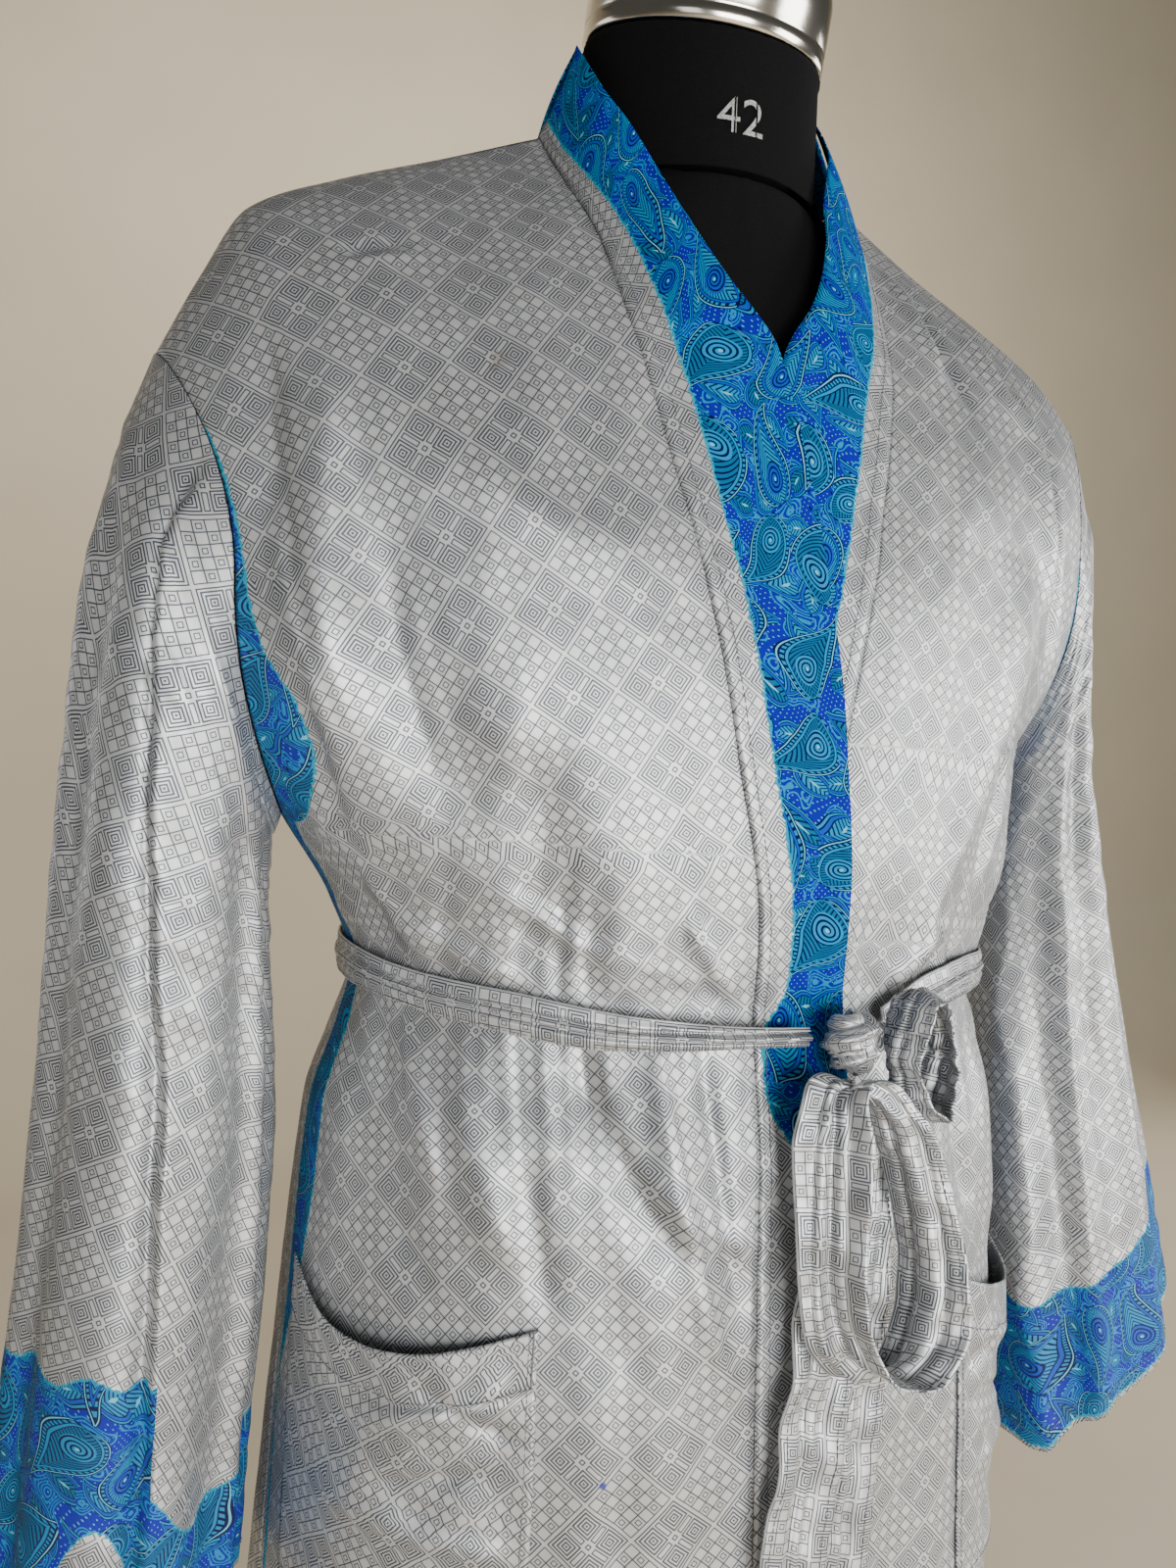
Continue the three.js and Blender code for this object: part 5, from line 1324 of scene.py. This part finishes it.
def addLoop(name, node, count):
    data = closedCurve(loops[name], count)
    data = np.concatenate([data, data[:1]])
    turned, tipped = np.radians(data[:, 3]), np.radians(data[:, 4])
    width = points(np.cos(turned) * np.cos(tipped), -np.sin(turned) * np.cos(tipped), np.sin(tipped))
    line = data[:, :3]
    run = np.concatenate([[0], np.linalg.norm(np.diff(line, axis=0), axis=1).cumsum()])
    along = np.gradient(line, axis=0)
    face = np.cross(along, width)
    face /= np.linalg.norm(face, axis=1)[:, None]
    knotPull = ease(960, 985, line[:, 2])
    phase = 2 * np.pi * run / run[-1]
    wave = lambda u: noiseField(3 * np.cos(phase) + 3, 3 * np.sin(phase) + 3 + u * 1.5, 1, 1, len(name))
    rows = []
    for u in np.linspace(0, 1, 22):
        shift = (u - 0.5) * belt["ribbon"] * (1 + 0.10 * np.sin(run / run[-1] * 12.566 + 1) - 0.25 * knotPull)
        curl = crossFold(u, 3.4, 2.0, run) + 2.4 * math.cos((u - 0.5) * math.pi * 2) + 2.6 * wave(u)
        rows.append(line + width * shift[:, None] - face * curl[:, None])
    grid = np.array(rows)
    places = stripPlaces(grid.transpose(1, 0, 2)).transpose(1, 0, 2)
    obj = addCloth(name, grid, printedSilk(name + "Silk", 45), node, None, places, belt["wall"])
    normals = gridNormals(grid)
    edges = [addStitches(f"{name}Stitches{i}", grid[i], normals[i], seed=i + 50) for i in (2, 19)]
    declareSheet(grid, (0.034, max(0.05, run[-1] * 0.001)), ["beltKnot"])


def addTail(name, node):
    data = closedCurve(tails[name], 90, closed=False)
    line = data[:, :3]
    run = np.concatenate([[0], np.linalg.norm(np.diff(line, axis=0), axis=1).cumsum()])
    spread = mix(0.55, 1, ease(0, 0.35, run / run[-1]))
    columns = []
    for u in np.linspace(0, 1, 18):
        shift = (u - 0.5) * belt["ribbon"] * spread
        swing = np.radians(data[:, 3])
        point = (line + points(shift * np.cos(swing), 1.5 * np.cos((u - 0.5) * np.pi * 2) * spread,
                               -shift * np.sin(swing)))
        point[:, 1] -= (crossFold(u, 4.2, 4.0, run) * 0.8
                        + 2.6 * noiseField(run, np.full(run.shape, u * 30), 20, 1, len(name) + 2))
        point[:, 0] += 2.5 * noiseField(run, np.full(run.shape, u * 8), 30, 1, len(name) + 9) * spread
        columns.append(point)
    grid = np.array(columns).transpose(1, 0, 2)
    obj = addCloth(name, grid, printedSilk(name + "Silk", 45), node, None, stripPlaces(grid), belt["wall"])
    normals = gridNormals(grid)
    edges = [addStitches(f"{name}Stitches{i}", grid[:, i], normals[:, i], seed=i + 60) for i in (2, 15)]
    declareSheet(grid, (0.034, run[-1] * 0.001), ["beltKnot"])


knot = {"x": 31.0, "y": -150.0, "z": 1004.0, "halfWidth": 14.0, "halfDepth": 12.0, "halfHeight": 14.0}


def addKnot():
    # a pulled lump with the turns of the belt wound over it
    rows, columns = 44, 72
    down = np.radians(np.linspace(3, 177, rows))[:, None]
    a = np.linspace(0, 2 * np.pi, columns)[None, :]
    ring = np.sin(down) ** 0.75
    spiral = a * 1.0 + down * 3.4
    wind = (1 + 0.10 * np.sin(spiral * 2 + 0.6) + 0.045 * np.sin(spiral * 5 + 1.0) * np.sin(down)
            + 0.03 * np.sin(down * 9 - a * 2))
    x = knot["x"] + knot["halfWidth"] * ring * wind * np.sin(a)
    y = knot["y"] - knot["halfDepth"] * ring * wind * np.cos(a)
    z = knot["z"] + knot["halfHeight"] * np.cos(down) * wind
    grid = points(x, y, z)
    obj = addCloth("beltKnot", grid, printedSilk("knotSilk", 30), "belt_knot", None, stripPlaces(grid), 1.0)


addKnot()
addBeltWaist()
addLoop("beltLoopLarge", "belt_loop_large", 150)
addLoop("beltLoopSmall", "belt_loop_small", 90)
addTail("beltTailRight", "belt_tail_right")
addTail("beltTailLeft", "belt_tail_left")
print("belt made")

# dress form
form = {
    "rings": readRows("at front frontZ side sideZ back backZ", [
        (0, 64, 1436, 66, 1460, 66, 1456), (1, 70, 1408, 100, 1444, 68, 1430),
        (2, 82, 1372, 146, 1422, 73, 1392),
        (3, 92, 1335, 186, 1396, 81, 1345), (4, 100, 1298, 204, 1372, 88, 1298),
        (5, 106, 1255, 210, 1330, 92, 1250),
        (6, 109, 1205, 204, 1265, 94, 1205), (7, 106, 1140, 184, 1180, 91, 1140),
        (8, 101, 1075, 168, 1090, 86, 1075),
        (9, 100, 1010, 158, 1010, 84, 1010), (10, 106, 940, 165, 940, 94, 940),
        (11, 110, 860, 176, 860, 104, 860),
        (12, 108, 790, 178, 790, 104, 790), (13, 98, 752, 166, 752, 94, 752)]),
    "neckRadius": 66.0, "capBottom": 1524.0, "tilt": 13.0,
}


def addSolid(name, grid, material, node):
    rows, columns = grid.shape[:2]
    index = np.arange(rows * columns).reshape(rows, columns)
    nxt = np.roll(index, -1, axis=1)
    faces = np.stack([index[:-1], index[1:], nxt[1:], nxt[:-1]], axis=-1).reshape(-1, 4).tolist()
    faces += [index[0].tolist(), index[-1][::-1].tolist()]
    mesh = bpy.data.meshes.new(name)
    mesh.from_pydata(toMetres(grid).reshape(-1, 3).tolist(), [], faces)
    mesh.polygons.foreach_set("use_smooth", [True] * (len(faces) - 2) + [False] * 2)
    mesh.materials.append(material)
    obj = bpy.data.objects.new(name, mesh)
    bpy.context.scene.collection.objects.link(obj)
    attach(obj, "root")
    if node:
        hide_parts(node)
    return obj


def addForm():
    count = 120
    a = np.linspace(0, 2 * np.pi, count, endpoint=False)
    s, c = np.sin(a), np.cos(a)
    grid = []
    for at in np.linspace(0, 13, 120):
        read = lambda column: float(readCurve(form["rings"], "at", column, at))
        reach = np.where(c > 0, read("front"), read("back"))
        height = np.where(c > 0, read("frontZ"), read("backZ"))
        front = np.where(c > 0, 1.15, 1.9)
        x = read("side") * np.sign(s) * np.abs(s) ** 0.95
        y = -reach * np.sign(c) * np.abs(c) ** front
        # the cover's seam down the middle and its welt
        y = (y - 0.7 * np.exp(-((x / 1.6) ** 2)) * (c > 0)
             + 0.5 * np.exp(-(((np.abs(x) - 3.4) / 1.2) ** 2)) * (c > 0))
        grid.append(points(x, y, mix(height, read("sideZ"), s**8)))
    addSolid("formTorso", np.array(grid), finishes["cover"], "form_torso")
    tilt = math.tan(math.radians(form["tilt"]))
    radius, rows = form["neckRadius"], []
    for t in np.linspace(0, 1, 40):
        x, y = radius * s, -radius * c
        shoulder = mix(np.where(c > 0, 1436, 1456), 1460, s**8) + 2.5
        z = mix(form["capBottom"] + y * tilt - 0.5, shoulder, t)
        welt = 1.1 * np.exp(-((t - 0.06) / 0.03) ** 2) + 0.9 * np.exp(-((t - 0.97) / 0.02) ** 2)
        gather = 0.35 * np.sin(a * 46) * math.exp(-t / 0.1)
        grow = 1 + (welt + gather) / radius
        rows.append(points(x * grow, y * grow, z))
    addSolid("formNeck", np.array(rows), finishes["cover"], "form_neck")
    rows, tiltAngle, leanAngle = [], math.radians(form["tilt"]), math.atan(robe["lean"])
    profile = [(0.5, 0), (60, 0), (66.5, 0), (68, 1.2), (68, 8), (67.2, 9), (68, 10), (68, 33), (67.4, 36),
               (65.8, 39.2),
               (63, 41.4), (58, 42), (20, 42), (0.5, 42)]
    for r, h in profile[::-1]:
        x, y, z = r * s, -r * c, np.full(count, h + 0.4)
        x2 = x * math.cos(leanAngle) + z * math.sin(leanAngle)
        z2 = -x * math.sin(leanAngle) + z * math.cos(leanAngle)
        y3 = y * math.cos(tiltAngle) - z2 * math.sin(tiltAngle)
        z3 = y * math.sin(tiltAngle) + z2 * math.cos(tiltAngle)
        rows.append(points(x2, y3, z3 + form["capBottom"] + robe["lean"] * x2))
    addSolid("neckCap", np.array(rows), finishes["chrome"], "neck_cap")


# size number stencilled on the neck and bent round it; lengths in metres, bridges as place and half width
number = {"text": "42", "height": 0.026, "neckRadius": 0.066, "radius": 0.0672, "turn": 5, "level": 1.456,
          "bridges": ((-0.0035, 0.0006), (0.0085, 0.0005))}


def addNumber():
    text = bpy.data.curves.new("sizeNumber", "FONT")
    text.body, text.size, text.align_x = number["text"], number["height"], "CENTER"
    text.extrude = 0.0
    holder = bpy.data.objects.new("sizeNumberWork", text)
    bpy.context.scene.collection.objects.link(holder)
    bpy.context.view_layer.update()
    mesh = bpy.data.meshes.new_from_object(holder)
    bpy.data.objects.remove(holder)
    work = bmesh.new()
    work.from_mesh(mesh)
    for _ in range(3):
        bmesh.ops.subdivide_edges(work, edges=work.edges[:], cuts=1, use_grid_fill=True)
    # the stencil's bridges
    gone = [face for face in work.faces
            if any(abs(face.calc_center_median().x - x) < half for x, half in number["bridges"])]
    bmesh.ops.delete(work, geom=gone, context="FACES")
    for v in work.verts:
        angle = v.co.x / number["neckRadius"] - math.radians(number["turn"])
        side, front = number["radius"] * math.sin(angle), number["radius"] * math.cos(angle)
        v.co = Vector((side, -front, number["level"] + v.co.y - robe["lean"] * side))
    work.to_mesh(mesh)
    work.free()
    mesh.materials.clear()
    mesh.materials.append(finishes["stencil"])
    obj = bpy.data.objects.new("sizeNumber", mesh)
    bpy.context.scene.collection.objects.link(obj)
    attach(obj, "root")


addForm()
addNumber()
for node in ("stand_pole", "stand_base"):
    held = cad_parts[node]
    held.data.materials.clear()
    held.data.materials.append(finishes["paint"])
print("dress form made")
